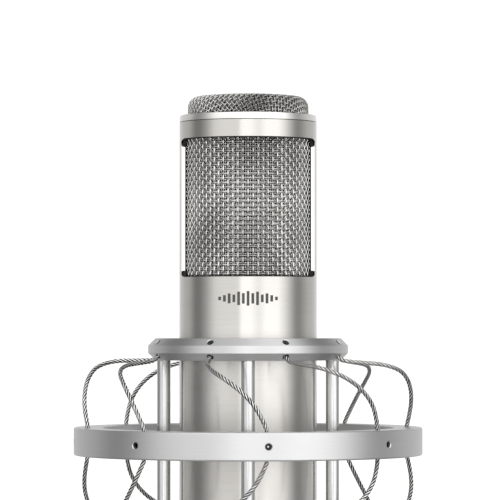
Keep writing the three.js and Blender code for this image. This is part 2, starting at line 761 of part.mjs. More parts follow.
// ---- Stand adapter, in the stand's own frame: z = 0 is the socket's end face ----
function standSocket() {
  const R = KNUCKLE.radius;
  const base = turned([
    [0, 0],
    [SOCKET.radius - 0.8, 0],
    [SOCKET.radius, 0.8],
    [SOCKET.radius, SOCKET.bodyHeight],
    [0, SOCKET.bodyHeight],
  ]);
  const ear = new THREE.Shape();
  ear.moveTo(-R, SOCKET.bodyHeight - 2);
  ear.lineTo(R, SOCKET.bodyHeight - 2);
  ear.absarc(0, tiltHeight, R, 0, Math.PI, false);
  const pair = sidePlate(ear, 2 * earOuter, 8);
  const slot = block([-earInner, -2 * R, SOCKET.bodyHeight], [earInner, 2 * R, tiltHeight + 2 * R]);
  const envelope = disc(SOCKET.radius + 0.01, -1, tiltHeight + 2 * R);
  const bolt = bar(KNUCKLE.bolt + GAP, at(-2 * earOuter, 0, tiltHeight), at(2 * earOuter, 0, tiltHeight), 20);
  const bore = disc(SOCKET.threadRadius, -1, SOCKET.threadDepth, 24);
  return combine(base, { added: [pair], kept: [envelope], removed: [slot, bolt, bore] });
}

function frictionWasher(side) {
  const half = KNUCKLE.washer / 2;
  const middle = side * (ARM.width / 2 + GAP + half);
  return tube(KNUCKLE.bolt + GAP, KNUCKLE.washerRadius, -half, half, SMALL_ROUND)
    .rotateY(Math.PI / 2)
    .translate(middle, 0, tiltHeight);
}

function tiltBolt() {
  const seat = earOuter + GAP;
  const along = (x) => at(x, 0, tiltHeight);
  const end = -seat - BOLT_HEAD.height;
  const shank = bar(KNUCKLE.bolt, along(-seat - 0.1), along(seat + KNOB.boltDepth), 20);
  const head = bar(BOLT_HEAD.radius, along(end), along(-seat), 20);
  const socket = bar(BOLT_HEAD.socket, along(end - 1), along(end + BOLT_HEAD.socketDepth), 6);
  return combine(shank, { added: [head], removed: [socket] });
}

function tiltKnob() {
  const seat = earOuter + GAP;
  const hub = disc(KNOB.hub, 0, KNOB.hubLength + 1, SMALL_ROUND);
  const grip = lobedGrip(KNOB.radius, KNOB.lobeDepth, KNOB.lobes, KNOB.gripLength, 6);
  const bore = disc(KNUCKLE.bolt + GAP, -1, KNOB.boltDepth + GAP, 20);
  return combine(hub, { added: [grip.translate(0, 0, KNOB.hubLength)], removed: [bore] })
    .rotateY(Math.PI / 2)
    .translate(seat, 0, tiltHeight);
}

function threadAdapter() {
  const outer = SOCKET.threadRadius - GAP;
  const top = ADAPTER.recess + ADAPTER.length;
  return tube(outer - ADAPTER.wall, outer, ADAPTER.recess, top, 24);
}

function stand() {
  const group = new THREE.Group();
  group.add(
    piece("stand_socket", standSocket(), "satin"),
    piece("friction_washer_left", frictionWasher(-1), "rubber"),
    piece("friction_washer_right", frictionWasher(1), "rubber"),
    piece("tilt_bolt", tiltBolt(), "steel"),
    piece("tilt_knob", tiltKnob(), "plastic"),
    piece("thread_adapter", threadAdapter(), "brass"),
  );
  return group;
}

// ---- The whole object ----
const group = new THREE.Group();
const hung = new THREE.Group();
hung.position.set(0, -ARM_REACH, RING_HEIGHT);
hung.add(microphone(), cage(), suspension());
group.add(hung, stand());

export default group;
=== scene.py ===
# The visible model of a side-address studio microphone in a wire-rope shock mount.
# Lengths are millimetres in the mount's own frame: the microphone's axis is x = y = 0 and z = 0 is the
# outer ring's middle plane. place() turns them into metres in the row frame. Angles run from the
# front (-Y) towards +X.
import json
import math

import bmesh
import bpy
import numpy as np
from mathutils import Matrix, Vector


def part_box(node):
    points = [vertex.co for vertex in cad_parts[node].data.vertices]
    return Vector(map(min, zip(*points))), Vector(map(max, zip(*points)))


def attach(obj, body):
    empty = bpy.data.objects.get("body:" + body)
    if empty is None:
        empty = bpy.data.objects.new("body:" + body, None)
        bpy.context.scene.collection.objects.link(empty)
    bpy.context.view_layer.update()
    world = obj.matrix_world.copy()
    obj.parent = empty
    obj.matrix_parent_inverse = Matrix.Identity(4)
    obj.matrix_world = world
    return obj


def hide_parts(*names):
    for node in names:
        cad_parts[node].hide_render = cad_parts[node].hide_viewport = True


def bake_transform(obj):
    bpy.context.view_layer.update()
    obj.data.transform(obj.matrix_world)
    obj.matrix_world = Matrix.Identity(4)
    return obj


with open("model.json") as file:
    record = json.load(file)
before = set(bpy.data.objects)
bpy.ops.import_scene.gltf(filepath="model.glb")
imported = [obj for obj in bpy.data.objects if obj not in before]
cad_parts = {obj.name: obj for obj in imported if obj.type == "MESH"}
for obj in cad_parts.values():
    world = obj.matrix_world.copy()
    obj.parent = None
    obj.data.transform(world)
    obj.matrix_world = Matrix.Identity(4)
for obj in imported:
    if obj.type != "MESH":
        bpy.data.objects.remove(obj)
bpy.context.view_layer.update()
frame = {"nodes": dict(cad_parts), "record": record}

# ---- Sizes, from the frame where it has them ----
MM = 0.001
ring_low, ring_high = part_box("outer_ring")
CENTRE = (ring_low + ring_high) / 2


def size(node, axis):
    """A CAD node's size along an axis, in millimetres."""
    low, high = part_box(node)
    return (high[axis] - low[axis]) / MM


def level(node, end):
    """A CAD node's lowest (end 0) or highest (end 1) height above the outer ring's middle plane."""
    return (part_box(node)[end].z - CENTRE.z) / MM


GAP = 0.3
OUTER_R = size("outer_ring", 0) / 2
OUTER_INNER_R = 50.8
OUTER_H = size("outer_ring", 2)
CAGE_R = size("upper_ring", 0) / 2
CAGE_H = size("upper_ring", 2)
CAGE_OFFSET = (level("upper_ring", 0) + level("upper_ring", 1)) / 2
CAGE_CHAMFER = 2.5
CAGE_FLOOR = 3
MIC_R = size("housing_tube", 0) / 2
MIC_WALL = 0.75
TUBE_TOP = level("housing_tube", 1)
TUBE_BOTTOM = level("housing_tube", 0)
WINDOW_BOTTOM = 57
WINDOW_TOP = WINDOW_BOTTOM + 48.15
WINDOW_EDGE = 0.7
WINDOW_CORNER = 1.5
CAGE_BORE = MIC_R + 0.6
GRILLE_R = size("side_grille", 0) / 2
DOME_R = MIC_R - 2.85
DOME_TOP = level("top_grille", 1)
DOME_CORNER = 3.9
DOME_CROWN = 0.7
ROD_R = size("cage_rod_1", 0) / 2
ROD_CIRCLE = CAGE_R - 5.5
ROPE_R = 0.8
ROPE_CIRCLE = 56
ROPE_SWEEP = 29
ROPE_ANGLES = [22.5 + 45 * i for i in range(8)]
ROPE_SOCKET = 4.4
ROPE_LAY = 8.2  # length of one turn of a strand
SCREW_R = 1.0
SCREW_APOTHEM = 0.62  # half the width of a set screw's hexagon
SPIGOT_R = 13
ARM_REACH = -CENTRE.y / MM
ARM_WIDTH = 11
TILT_Z = -40
KNUCKLE_R = 9.5
BOLT_HOLE_R = 3.3
STAND_BASE = -CENTRE.z / MM
STAND_BORE_R = 8.2
STUD_PITCH = 0.94


def place(points):
    """Points in millimetres in the mount's frame, as metres in the row frame."""
    return np.asarray(points, float) * MM + np.array(CENTRE)


def polar(radius, degrees, z=0.0):
    a = math.radians(degrees)
    return np.array([radius * math.sin(a), -radius * math.cos(a), z])


# ---- Mesh helpers ----
def new_object(name, points, faces):
    mesh = bpy.data.meshes.new(name)
    mesh.from_pydata([tuple(p) for p in place(points)], [], [tuple(f) for f in faces])
    mesh.update()
    obj = bpy.data.objects.new(name, mesh)
    bpy.context.scene.collection.objects.link(obj)
    return obj


def quad_object(name, points, quads):
    """A mesh of quads only, made from arrays."""
    points = place(points).astype(np.float32)
    quads = np.asarray(quads, np.int32)
    mesh = bpy.data.meshes.new(name)
    mesh.vertices.add(len(points))
    mesh.vertices.foreach_set("co", points.ravel())
    mesh.loops.add(quads.size)
    mesh.loops.foreach_set("vertex_index", quads.ravel())
    mesh.polygons.add(len(quads))
    mesh.polygons.foreach_set("loop_start", np.arange(0, quads.size, 4, dtype=np.int32))
    mesh.update(calc_edges=True)
    mesh.polygons.foreach_set("use_smooth", np.ones(len(quads), bool))
    obj = bpy.data.objects.new(name, mesh)
    bpy.context.scene.collection.objects.link(obj)
    return obj


def rectangle(left, right, bottom, top):
    return [(left, bottom), (right, bottom), (right, top), (left, top)]


def thread(start, end, pitch, root, crest):
    """[radius, height] points of a thread's turns, from root to root."""
    points = []
    z = start
    while z + pitch < end:
        points += [(root, z), (crest, z + pitch / 2)]
        z += pitch
    return points + [(root, z)]


def rounded(outline, radius, steps):
    """A closed outline with its corners turned into arcs. radius is one number, or one for each corner."""
    points = np.asarray(outline, float)
    count = len(points)
    radii = [radius] * count if np.isscalar(radius) else radius
    result = []
    for i, point in enumerate(points):
        back = points[i - 1] - point
        ahead = points[(i + 1) % count] - point
        back_length, ahead_length = np.linalg.norm(back), np.linalg.norm(ahead)
        back, ahead = back / back_length, ahead / ahead_length
        half = math.acos(np.clip(back @ ahead, -1, 1)) / 2
        if radii[i] <= 0 or half > math.pi / 2 - 0.02:
            result.append(point)
            continue
        reach = min(radii[i] / math.tan(half), 0.45 * back_length, 0.45 * ahead_length)
        r = reach * math.tan(half)
        middle = (back + ahead) / np.linalg.norm(back + ahead)
        centre = point + middle * r / math.sin(half)
        first, last = point + back * reach - centre, point + ahead * reach - centre
        turn = math.acos(np.clip(first @ last / r**2, -1, 1))
        for k in range(steps + 1):
            t = k / steps
            arm = (math.sin((1 - t) * turn) * first + math.sin(t * turn) * last) / math.sin(turn)
            result.append(centre + arm)
    return np.array(result)


def turned_points(profile, segments, shape):
    """Points and quads of a closed [radius, height] outline turned about Z.

    shape(index, angles) scales the radius of one of its points.
    """
    profile = np.asarray(profile, float)
    angles = np.linspace(0, 2 * math.pi, segments, endpoint=False)
    rows = []
    for i, (radius, z) in enumerate(profile):
        r = radius * (shape(i, angles) if shape else np.ones(segments))
        rows.append(np.stack([r * np.sin(angles), -r * np.cos(angles), np.full(segments, z)], 1))
    count = len(profile)
    s = np.arange(segments)
    s2 = (s + 1) % segments
    quads = []
    for p in range(count):
        q = (p + 1) % count
        quads.append(np.stack([p * segments + s, p * segments + s2, q * segments + s2, q * segments + s], 1))
    return np.concatenate(rows), np.concatenate(quads)


def tidy(obj):
    """Merges the points that meet on the axis and drops faces with no area."""
    work = bmesh.new()
    work.from_mesh(obj.data)
    bmesh.ops.remove_doubles(work, verts=work.verts, dist=2e-7)
    bmesh.ops.dissolve_degenerate(work, edges=work.edges, dist=1e-8)
    bmesh.ops.recalc_face_normals(work, faces=work.faces)
    work.to_mesh(obj.data)
    work.free()
    return obj


def turned(name, profile, segments, at=(0, 0, 0), along=(0, 0, 1), shape=None):
    """A closed outline turned about a line through `at` along `along`."""
    points, quads = turned_points(profile, segments, shape)
    turn = Vector((0, 0, 1)).rotation_difference(Vector(along)).to_matrix()
    points = points @ np.array(turn).T + np.asarray(at, float)
    return tidy(new_object(name, points, quads))


def cutter(radius, start, end, sides=32):
    """A plain round bar between two points, for cutting holes."""
    start, end = np.asarray(start, float), np.asarray(end, float)
    length = np.linalg.norm(end - start)
    return turned("cutter", rectangle(0, radius, 0, length), sides, start, (end - start) / length)


def swept(profile, start, end, steps):
    """A closed [radius, height] outline swept about Z through part of a turn."""
    angles = np.radians(np.linspace(start, end, steps))
    count = len(profile)
    points = [(r * math.sin(a), -r * math.cos(a), z) for a in angles for r, z in profile]
    faces = [tuple(range(count)), tuple(range((steps - 1) * count, steps * count))[::-1]]
    for i in range(steps - 1):
        for k in range(count):
            a, b = i * count + k, i * count + (k + 1) % count
            faces.append((a, b, b + count, a + count))
    return tidy(new_object("sweep", points, faces))


def extruded(name, outline, low, high, axes=("x", "y", "z")):
    """An outline in the plane of the first two axes, made solid from low to high along the third."""
    index = {"x": 0, "y": 1, "z": 2}
    order = [index[a] for a in axes]
    count = len(outline)
    points = np.zeros((2 * count, 3))
    for k, height in enumerate((low, high)):
        rows = slice(k * count, (k + 1) * count)
        points[rows, order[0]] = [p[0] for p in outline]
        points[rows, order[1]] = [p[1] for p in outline]
        points[rows, order[2]] = height
    sides = [(i, (i + 1) % count, count + (i + 1) % count, count + i) for i in range(count)]
    faces = [tuple(range(count))[::-1], tuple(range(count, 2 * count))] + sides
    return tidy(new_object(name, points, faces))


def baked(obj):
    """Applies an object's modifiers to its mesh."""
    graph = bpy.context.evaluated_depsgraph_get()
    mesh = bpy.data.meshes.new_from_object(obj.evaluated_get(graph), depsgraph=graph)
    obj.modifiers.clear()
    obj.data = mesh
    return obj


def combine(obj, others, operation="DIFFERENCE"):
    """Cuts the others out of obj, or joins them to it, and removes them."""
    for other in others:
        modifier = obj.modifiers.new("combine", "BOOLEAN")
        modifier.operation = operation
        modifier.solver = "EXACT"
        modifier.object = other
    baked(obj)
    for other in others:
        bpy.data.objects.remove(other)


def joined(name, objects):
    """One object from several that don't touch."""
    work = bmesh.new()
    for obj in objects:
        work.from_mesh(obj.data)
        bpy.data.objects.remove(obj)
    mesh = bpy.data.meshes.new(name)
    work.to_mesh(mesh)
    work.free()
    obj = bpy.data.objects.new(name, mesh)
    bpy.context.scene.collection.objects.link(obj)
    return obj


def shade(obj, sharp_degrees=32):
    """Smooth shading with sharp edges where faces meet at more than an angle."""
    mesh = obj.data
    mesh.polygons.foreach_set("use_smooth", np.ones(len(mesh.polygons), bool))
    mesh.set_sharp_from_angle(angle=math.radians(sharp_degrees))
    return obj


def shade_turned(obj):
    """Exact normals for a piece turned about the microphone's axis.

    Each face's normal is carried round to its corners.
    """
    mesh = obj.data
    faces = len(mesh.polygons)
    mesh.polygons.foreach_set("use_smooth", np.ones(faces, bool))
    normals = np.zeros(faces * 3)
    centres = np.zeros(faces * 3)
    totals = np.zeros(faces, int)
    mesh.polygons.foreach_get("normal", normals)
    mesh.polygons.foreach_get("center", centres)
    mesh.polygons.foreach_get("loop_total", totals)
    corners = np.zeros(len(mesh.loops), int)
    mesh.loops.foreach_get("vertex_index", corners)
    points = np.zeros(len(mesh.vertices) * 3)
    mesh.vertices.foreach_get("co", points)
    middle = place([0, 0, 0])[:2]
    owner = np.repeat(np.arange(faces), totals)
    face_at = centres.reshape(-1, 3)[owner, :2] - middle
    corner_at = points.reshape(-1, 3)[corners, :2] - middle
    turn = np.arctan2(corner_at[:, 1], corner_at[:, 0]) - np.arctan2(face_at[:, 1], face_at[:, 0])
    near_axis = np.minimum(np.hypot(*corner_at.T), np.hypot(*face_at.T)) < MM
    turn[near_axis] = 0
    n = normals.reshape(-1, 3)[owner]
    c, s = np.cos(turn), np.sin(turn)
    out = np.stack([c * n[:, 0] - s * n[:, 1], s * n[:, 0] + c * n[:, 1], n[:, 2]], 1)
    mesh.normals_split_custom_set([tuple(v) for v in out])


def bevel_edges(obj, width, angle):
    """Rounds the sharp edges of a solid."""
    modifier = obj.modifiers.new("bevel", "BEVEL")
    modifier.width = width * MM
    modifier.segments = 3
    modifier.limit_method = "ANGLE"
    modifier.angle_limit = math.radians(angle)
    modifier.harden_normals = True
    modifier.use_clamp_overlap = True
    obj.data.polygons.foreach_set("use_smooth", np.ones(len(obj.data.polygons), bool))
    baked(obj)


def finish_piece(obj, body, material, nodes=(), second=None):
    """Gives a piece its material, slot and body, and hides the CAD nodes it stands for."""
    marked = [face.material_index for face in obj.data.polygons]
    obj.data.materials.clear()
    obj.data.materials.append(material)
    if second:
        obj.data.materials.append(second)
        obj.data.polygons.foreach_set("material_index", marked)
    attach(obj, body)
    if nodes:
        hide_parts(*nodes)


# ---- Materials ----
def node_tree(name):
    material = bpy.data.materials.new(name)
    material.use_nodes = True
    tree = material.node_tree
    return material, tree, tree.nodes["Principled BSDF"]


def linked(tree, kind, inputs=None, **settings):
    """Adds a node, sets its properties and feeds its inputs by name or number."""
    node = tree.nodes.new(kind)
    for key, value in settings.items():
        setattr(node, key, value)
    for key, value in (inputs or {}).items():
        if isinstance(value, bpy.types.NodeSocket):
            tree.links.new(value, node.inputs[key])
        else:
            node.inputs[key].default_value = value
    return node


def object_noise(tree, scale, detail, roughness=0.5):
    """Noise in the row frame, stretched by a scale for each axis (features per metre)."""
    place_node = linked(tree, "ShaderNodeTexCoord")
    mapping = linked(tree, "ShaderNodeMapping", {"Vector": place_node.outputs["Object"], "Scale": scale})
    inputs = {"Vector": mapping.outputs["Vector"], "Scale": 1.0, "Detail": detail, "Roughness": roughness}
    return linked(tree, "ShaderNodeTexNoise", inputs).outputs["Fac"]


def spread(tree, value, low, high, start=0.3, end=0.7):
    """Maps a noise value from start..end to low..high."""
    inputs = {"Value": value, "From Min": start, "From Max": end, "To Min": low, "To Max": high}
    return linked(tree, "ShaderNodeMapRange", inputs).outputs["Result"]


def worked_out(tree, operation, first, second):
    """The result of a sum, product or other operation on two values."""
    return linked(tree, "ShaderNodeMath", {0: first, 1: second}, operation=operation).outputs[0]


def blend_values(tree, first, second, factor):
    """The first value where the factor is 0 and the second where it is 1."""
    return linked(tree, "ShaderNodeMix", {"A": first, "B": second, "Factor": factor}).outputs["Result"]


def tint(tree, value, dark, light):
    """A colour between two, by a value from 0 to 1."""
    mix = linked(tree, "ShaderNodeMix", data_type="RGBA")
    tree.links.new(value, mix.inputs["Factor"])
    mix.inputs["A"].default_value = (*dark, 1)
    mix.inputs["B"].default_value = (*light, 1)
    return mix.outputs["Result"]


def set_bump(tree, shader, height, strength, distance):
    bump = linked(tree, "ShaderNodeBump", {"Height": height, "Strength": strength, "Distance": distance})
    tree.links.new(bump.outputs["Normal"], shader.inputs["Normal"])


def turned_metal(name, dark, light, roughness, line_scale, anisotropic, bump, lines):
    """Metal with fine circumferential tool or brush lines about the vertical axis."""
    material, tree, shader = node_tree(name)
    streaks = object_noise(tree, (70, 70, line_scale), 4, 0.6)
    clouds = object_noise(tree, (45, 45, 45), 2)
    shader.inputs["Metallic"].default_value = 1
    shade_factor = spread(tree, worked_out(tree, "ADD", streaks, clouds), 0, 1, 0.7, 1.3)
    tree.links.new(tint(tree, shade_factor, dark, light), shader.inputs["Base Color"])
    rough = spread(tree, streaks, roughness - lines, roughness + lines)
    tree.links.new(rough, shader.inputs["Roughness"])
    if anisotropic:
        shader.inputs["Anisotropic"].default_value = anisotropic
        shader.inputs["Anisotropic Rotation"].default_value = 0.25
        tangent = linked(tree, "ShaderNodeTangent", direction_type="RADIAL", axis="Z")
        tree.links.new(tangent.outputs["Tangent"], shader.inputs["Tangent"])
    set_bump(tree, shader, streaks, bump, 0.00002)
    return material


def plain_metal(name, dark, light, roughness, grain, bump, metallic=1.0):
    """Metal with an even fine grain."""
    material, tree, shader = node_tree(name)
    fine = object_noise(tree, (grain, grain, grain), 3)
    clouds = object_noise(tree, (60, 60, 60), 2)
    shader.inputs["Metallic"].default_value = metallic
    tree.links.new(tint(tree, spread(tree, clouds, 0, 1), dark, light), shader.inputs["Base Color"])
    tree.links.new(spread(tree, fine, roughness * 0.8, roughness * 1.2), shader.inputs["Roughness"])
    set_bump(tree, shader, fine, bump, 0.00003)
    return material


def moulded(name, dark, light, roughness, grain, bump):
    """Moulded rubber or plastic with a fine pebbled skin."""
    return plain_metal(name, dark, light, roughness, grain, bump, metallic=0.0)


def stranded_metal(name, dark, light):
    """Bare wire rope: bright on the crowns of its strands, with painted shade in its grooves and between its
    wires.
    """
    material, tree, shader = node_tree(name)
    crown = linked(tree, "ShaderNodeAttribute", attribute_name="crown").outputs["Fac"]
    clouds = object_noise(tree, (700, 700, 700), 3)
    crown_mottled = worked_out(tree, "ADD", crown, spread(tree, clouds, -0.08, 0.08))
    # Painted shade: the base colour darkens where the crown values are low, in the grooves and between the
    # wires.
    lit_crown_share = spread(tree, crown_mottled, 0, 1, 0.66, 0.92)
    shader.inputs["Metallic"].default_value = 1
    tree.links.new(tint(tree, lit_crown_share, dark, light), shader.inputs["Base Color"])
    tree.links.new(spread(tree, lit_crown_share, 0.6, 0.26, 0, 1), shader.inputs["Roughness"])
    return material


# Each has its darkest and lightest colour and its roughness. A turned metal's next values are its lines
# to a metre, how far they stretch the reflection, and how much they show in bump and in roughness. The
# others' are the grain to a metre and its bump.
champagne = turned_metal(
    "champagne_steel", (0.585, 0.57, 0.54), (0.66, 0.645, 0.615), 0.25, 4500, 0.93, 0.06, 0.02
)
# Painted light: a lighter copy of the champagne steel, for the cap ring that shows near white.
painted_light_rim = turned_metal(
    "champagne_painted_light", (0.83, 0.815, 0.785), (0.9, 0.885, 0.86), 0.25, 4500, 0.6, 0.06, 0.02
)
satin = turned_metal(
    "satin_aluminium", (0.575, 0.575, 0.575), (0.615, 0.615, 0.615), 0.36, 1500, 0.2, 0.02, 0.012
)
satin_block = plain_metal("satin_block", (0.56, 0.565, 0.57), (0.64, 0.645, 0.65), 0.34, 1600, 0.12)
polished = plain_metal("polished_rod", (0.56, 0.56, 0.56), (0.62, 0.62, 0.615), 0.2, 400, 0.02)
grille_wire = plain_metal("grille_wire", (0.56, 0.55, 0.535), (0.9, 0.885, 0.86), 0.22, 1500, 0.1)
dome_wire = plain_metal("dome_wire", (0.26, 0.255, 0.245), (0.82, 0.81, 0.79), 0.2, 1500, 0.1)
# Painted shade: a darker copy of the grille wire, for the hoops that show darker than the upright wires.
painted_shade_hoop_wire = plain_metal("painted_shade_hoop_wire", (0.3, 0.295, 0.285), (0.62, 0.61, 0.59), 0.22, 1500, 0.1)
dome_screen = plain_metal("dome_screen", (0.5, 0.49, 0.475), (0.66, 0.65, 0.63), 0.3, 1500, 0.1)
# Painted light: a lighter copy of the fine screen wire, for the side screen that lies in the shade of the
# coarse weave.
painted_light_screen_wire = plain_metal("painted_light_screen_wire", (0.86, 0.85, 0.83), (0.98, 0.97, 0.95), 0.26, 1500, 0.1)
dark_steel = plain_metal("dark_steel", (0.05, 0.05, 0.055), (0.1, 0.1, 0.105), 0.32, 1200, 0.1)
bright_steel = plain_metal("bright_screw", (0.5, 0.5, 0.5), (0.62, 0.62, 0.61), 0.25, 1200, 0.1)
brass = plain_metal("brass", (0.52, 0.38, 0.18), (0.68, 0.5, 0.26), 0.3, 900, 0.1)
gold = plain_metal("gold", (0.8, 0.6, 0.26), (0.9, 0.7, 0.34), 0.22, 700, 0.05)
rubber = moulded("black_rubber", (0.008, 0.008, 0.008), (0.02, 0.02, 0.02), 0.7, 3000, 0.35)
plastic = moulded("black_plastic", (0.012, 0.012, 0.013), (0.028, 0.028, 0.03), 0.45, 2200, 0.3)
circuit = moulded("circuit_board", (0.02, 0.1, 0.045), (0.035, 0.15, 0.07), 0.4, 800, 0.15)
# Painted shade: a near-black sheet behind the screens stands in for the shade inside the head.
backing_shade = moulded("painted_shade_sheet", (0.02, 0.02, 0.019), (0.04, 0.04, 0.038), 0.9, 4000, 0.4)
mark_ink = moulded("mark_ink", (0.035, 0.034, 0.032), (0.06, 0.058, 0.055), 0.5, 1500, 0.2)
# Its dark colour is painted shade for the rope's grooves.
rope_wire = stranded_metal("rope_wire", (0.02, 0.02, 0.02), (0.95, 0.95, 0.93))

# ---- Microphone shell ----
WINDOW_HALF = MIC_R - WINDOW_EDGE


def housing():
    inner = MIC_R - MIC_WALL
    profile = rectangle(inner, MIC_R, TUBE_BOTTOM, TUBE_TOP)
    shell = turned("housing_tube_shell", rounded(profile, 0.12, 3), 288)
    window = rectangle(-WINDOW_HALF, WINDOW_HALF, WINDOW_BOTTOM, WINDOW_TOP)
    reach = 1.2 * MIC_R
    outline = rounded(window, WINDOW_CORNER, 8)
    combine(shell, [extruded("window", outline, -reach, reach, ("x", "z", "y"))])
    shade_turned(shell)
    finish_piece(shell, "microphone", champagne, ["housing_tube"])


def cap():
    low, high = level("cap_ring", 0), level("cap_ring", 1)
    bore = DOME_R + GAP
    seam = low - 0.14
    profile = [(bore, seam), (MIC_R, seam), (MIC_R, seam + 0.8), (MIC_R - 0.2, high), (bore, high)]
    ring = turned("cap_ring_turned", rounded(profile, [0.1, 0.1, 0.3, 0.35, 0.15], 4), 288)
    shade_turned(ring)
    # The cap ring's lighter steel is painted light.
    finish_piece(ring, "microphone", painted_light_rim, ["cap_ring"])


def level_mark():
    """A plain row of upright bars, like a level meter, printed on the front."""
    heights = [1.2, 2.2, 3.4, 2.6, 4.6, 3.6, 5.0, 3.6, 4.6, 2.6, 3.4, 2.2, 1.2]
    pitch = 1.62
    width = 0.95
    middle_z = 49.5
    bars = []
    for i, height in enumerate(heights):
        across = (i - (len(heights) - 1) / 2) * pitch
        ends = [math.degrees(math.asin((across + side * width / 2) / MIC_R)) for side in (-1, 1)]
        bar = rectangle(MIC_R - 0.1, MIC_R + 0.012, middle_z - height / 2, middle_z + height / 2)
        bars.append(swept(bar, *ends, 5))
    mark = joined("front_mark", bars)
    finish_piece(mark, "microphone", mark_ink)


# ---- Rubber seats round the grille ----
WEAVE_R = GRILLE_R - 0.4
SEAT_INNER = GRILLE_R + 0.05
SEAT_OUTER = MIC_R - MIC_WALL - 0.1
SEAT_LIP = 0.35
LUG_HALF_ANGLE = 13


def seats():
    """Two rubber rings with lugs beside the windows, and the strips that close the grille's sides."""
    for node, lug_end in (("basket_seat_lower", 1), ("basket_seat_upper", 0)):
        low, high = level(node, 0), level(node, 1)
        lip = WINDOW_BOTTOM + SEAT_LIP if lug_end else WINDOW_TOP - SEAT_LIP
        band = (low, lip) if lug_end else (lip, high)
        lug = (lip - 0.5, high) if lug_end else (low, lip + 0.5)
        band_profile = rectangle(SEAT_INNER, SEAT_OUTER, *band)
        parts = [turned("band", rounded(band_profile, 0.12, 3), 160)]
        lug_profile = rectangle(SEAT_INNER, SEAT_OUTER + 0.05, *lug)
        for side in (-90, 90):
            start, end = side - LUG_HALF_ANGLE, side + LUG_HALF_ANGLE
            parts.append(swept(rounded(lug_profile, 0.3, 4), start, end, 24))
        seat = shade(joined(node + "_moulded", parts), 50)
        finish_piece(seat, "microphone", rubber, [node])
    strip = rectangle(WEAVE_R + 0.02, GRILLE_R - 0.02, WINDOW_BOTTOM, WINDOW_TOP)
    strips = [swept(rounded(strip, 0.08, 2), side - 5, side + 5, 10) for side in (-90, 90)]
    finish_piece(shade(joined("grille_side_strips", strips), 50), "microphone", rubber)


# ---- Woven wire ----
def tubes(centres, outward, radius, sides, closed=False):
    """Points and quads of round wires along centres[wire, step, 3].

    outward is a direction for each step that isn't along the wire.
    """
    if closed:
        along = np.roll(centres, -1, 1) - np.roll(centres, 1, 1)
    else:
        along = np.gradient(centres, axis=1)
    along /= np.linalg.norm(along, axis=2, keepdims=True)
    side = np.cross(along, outward)
    side /= np.linalg.norm(side, axis=2, keepdims=True)
    up = np.cross(side, along)
    turn = np.arange(sides) * 2 * math.pi / sides
    ring = np.cos(turn)[:, None] * up[:, :, None] + np.sin(turn)[:, None] * side[:, :, None]
    points = centres[:, :, None] + radius * ring
    return points.reshape(-1, 3), grid_quads(*points.shape[:3], closed)


def grid_quads(wires, steps, sides, closed):
    """Quads over wires of `steps` sections with `sides` points each."""
    last = steps if closed else steps - 1
    w, i, k = np.meshgrid(np.arange(wires), np.arange(last), np.arange(sides), indexing="ij")
    here, ahead = (w * steps + i) * sides, (w * steps + (i + 1) % steps) * sides
    beside = (k + 1) % sides
    return np.stack([here + k, here + beside, ahead + beside, ahead + k], -1).reshape(-1, 4)


def side_weave(name, radius, wire, around, rows, low, high, per_crossing, sides):
    """A woven cylinder of `around` upright wires and `rows` hoops, as two objects.

    Each wire swings by its own radius, in front of one crossing wire and behind the next.
    """
    heights = np.linspace(low, high, rows)
    steps = np.linspace(0, rows - 1, (rows - 1) * per_crossing + 1)
    z = np.interp(steps, np.arange(rows), heights)
    k = np.arange(around)
    angle = 2 * math.pi * k / around
    sign = np.where(k % 2 == 0, 1.0, -1.0)
    r = radius + wire * sign[:, None] * np.cos(math.pi * steps)[None]
    out = np.stack([np.sin(angle), -np.cos(angle), np.zeros(around)], 1)[:, None].repeat(len(steps), 1)
    centres = out * r[..., None]
    centres[..., 2] = z
    uprights = quad_object(name + "_uprights", *tubes(centres, out, wire, sides))
    count = around * per_crossing
    position = np.arange(count) / per_crossing
    angle = 2 * math.pi * position / around
    row_sign = np.where(np.arange(rows) % 2 == 0, -1.0, 1.0)
    r = radius + wire * row_sign[:, None] * np.cos(math.pi * position)[None]
    out = np.stack([np.sin(angle), -np.cos(angle), np.zeros(count)], 1)[None].repeat(rows, 0)
    centres = out * r[..., None]
    centres[..., 2] = heights[:, None]
    hoops = quad_object(name + "_hoops", *tubes(centres, out, wire, sides, closed=True))
    return uprights, hoops


def dome_meridian(radius, corner, crown, top, bottom):
    """Arc length, radius, height and outward direction from the dome's middle to its lower edge."""
    flat = radius - corner
    shoulder = top - crown
    points = []
    for t in np.linspace(0, 1, 24)[:-1]:
        points.append((flat * t, top - crown * t**2))
    for a in np.linspace(0, math.pi / 2, 20):
        points.append((flat + corner * math.sin(a), shoulder - corner + corner * math.cos(a)))
    for z in np.linspace(shoulder - corner, bottom, 12)[1:]:
        points.append((radius, z))
    points = np.array(points)
    lengths = np.concatenate([[0], np.cumsum(np.linalg.norm(np.diff(points, axis=0), axis=1))])
    along = np.gradient(points, axis=0)
    along /= np.linalg.norm(along, axis=1, keepdims=True)
    return lengths, points, np.stack([-along[:, 1], along[:, 0]], 1)


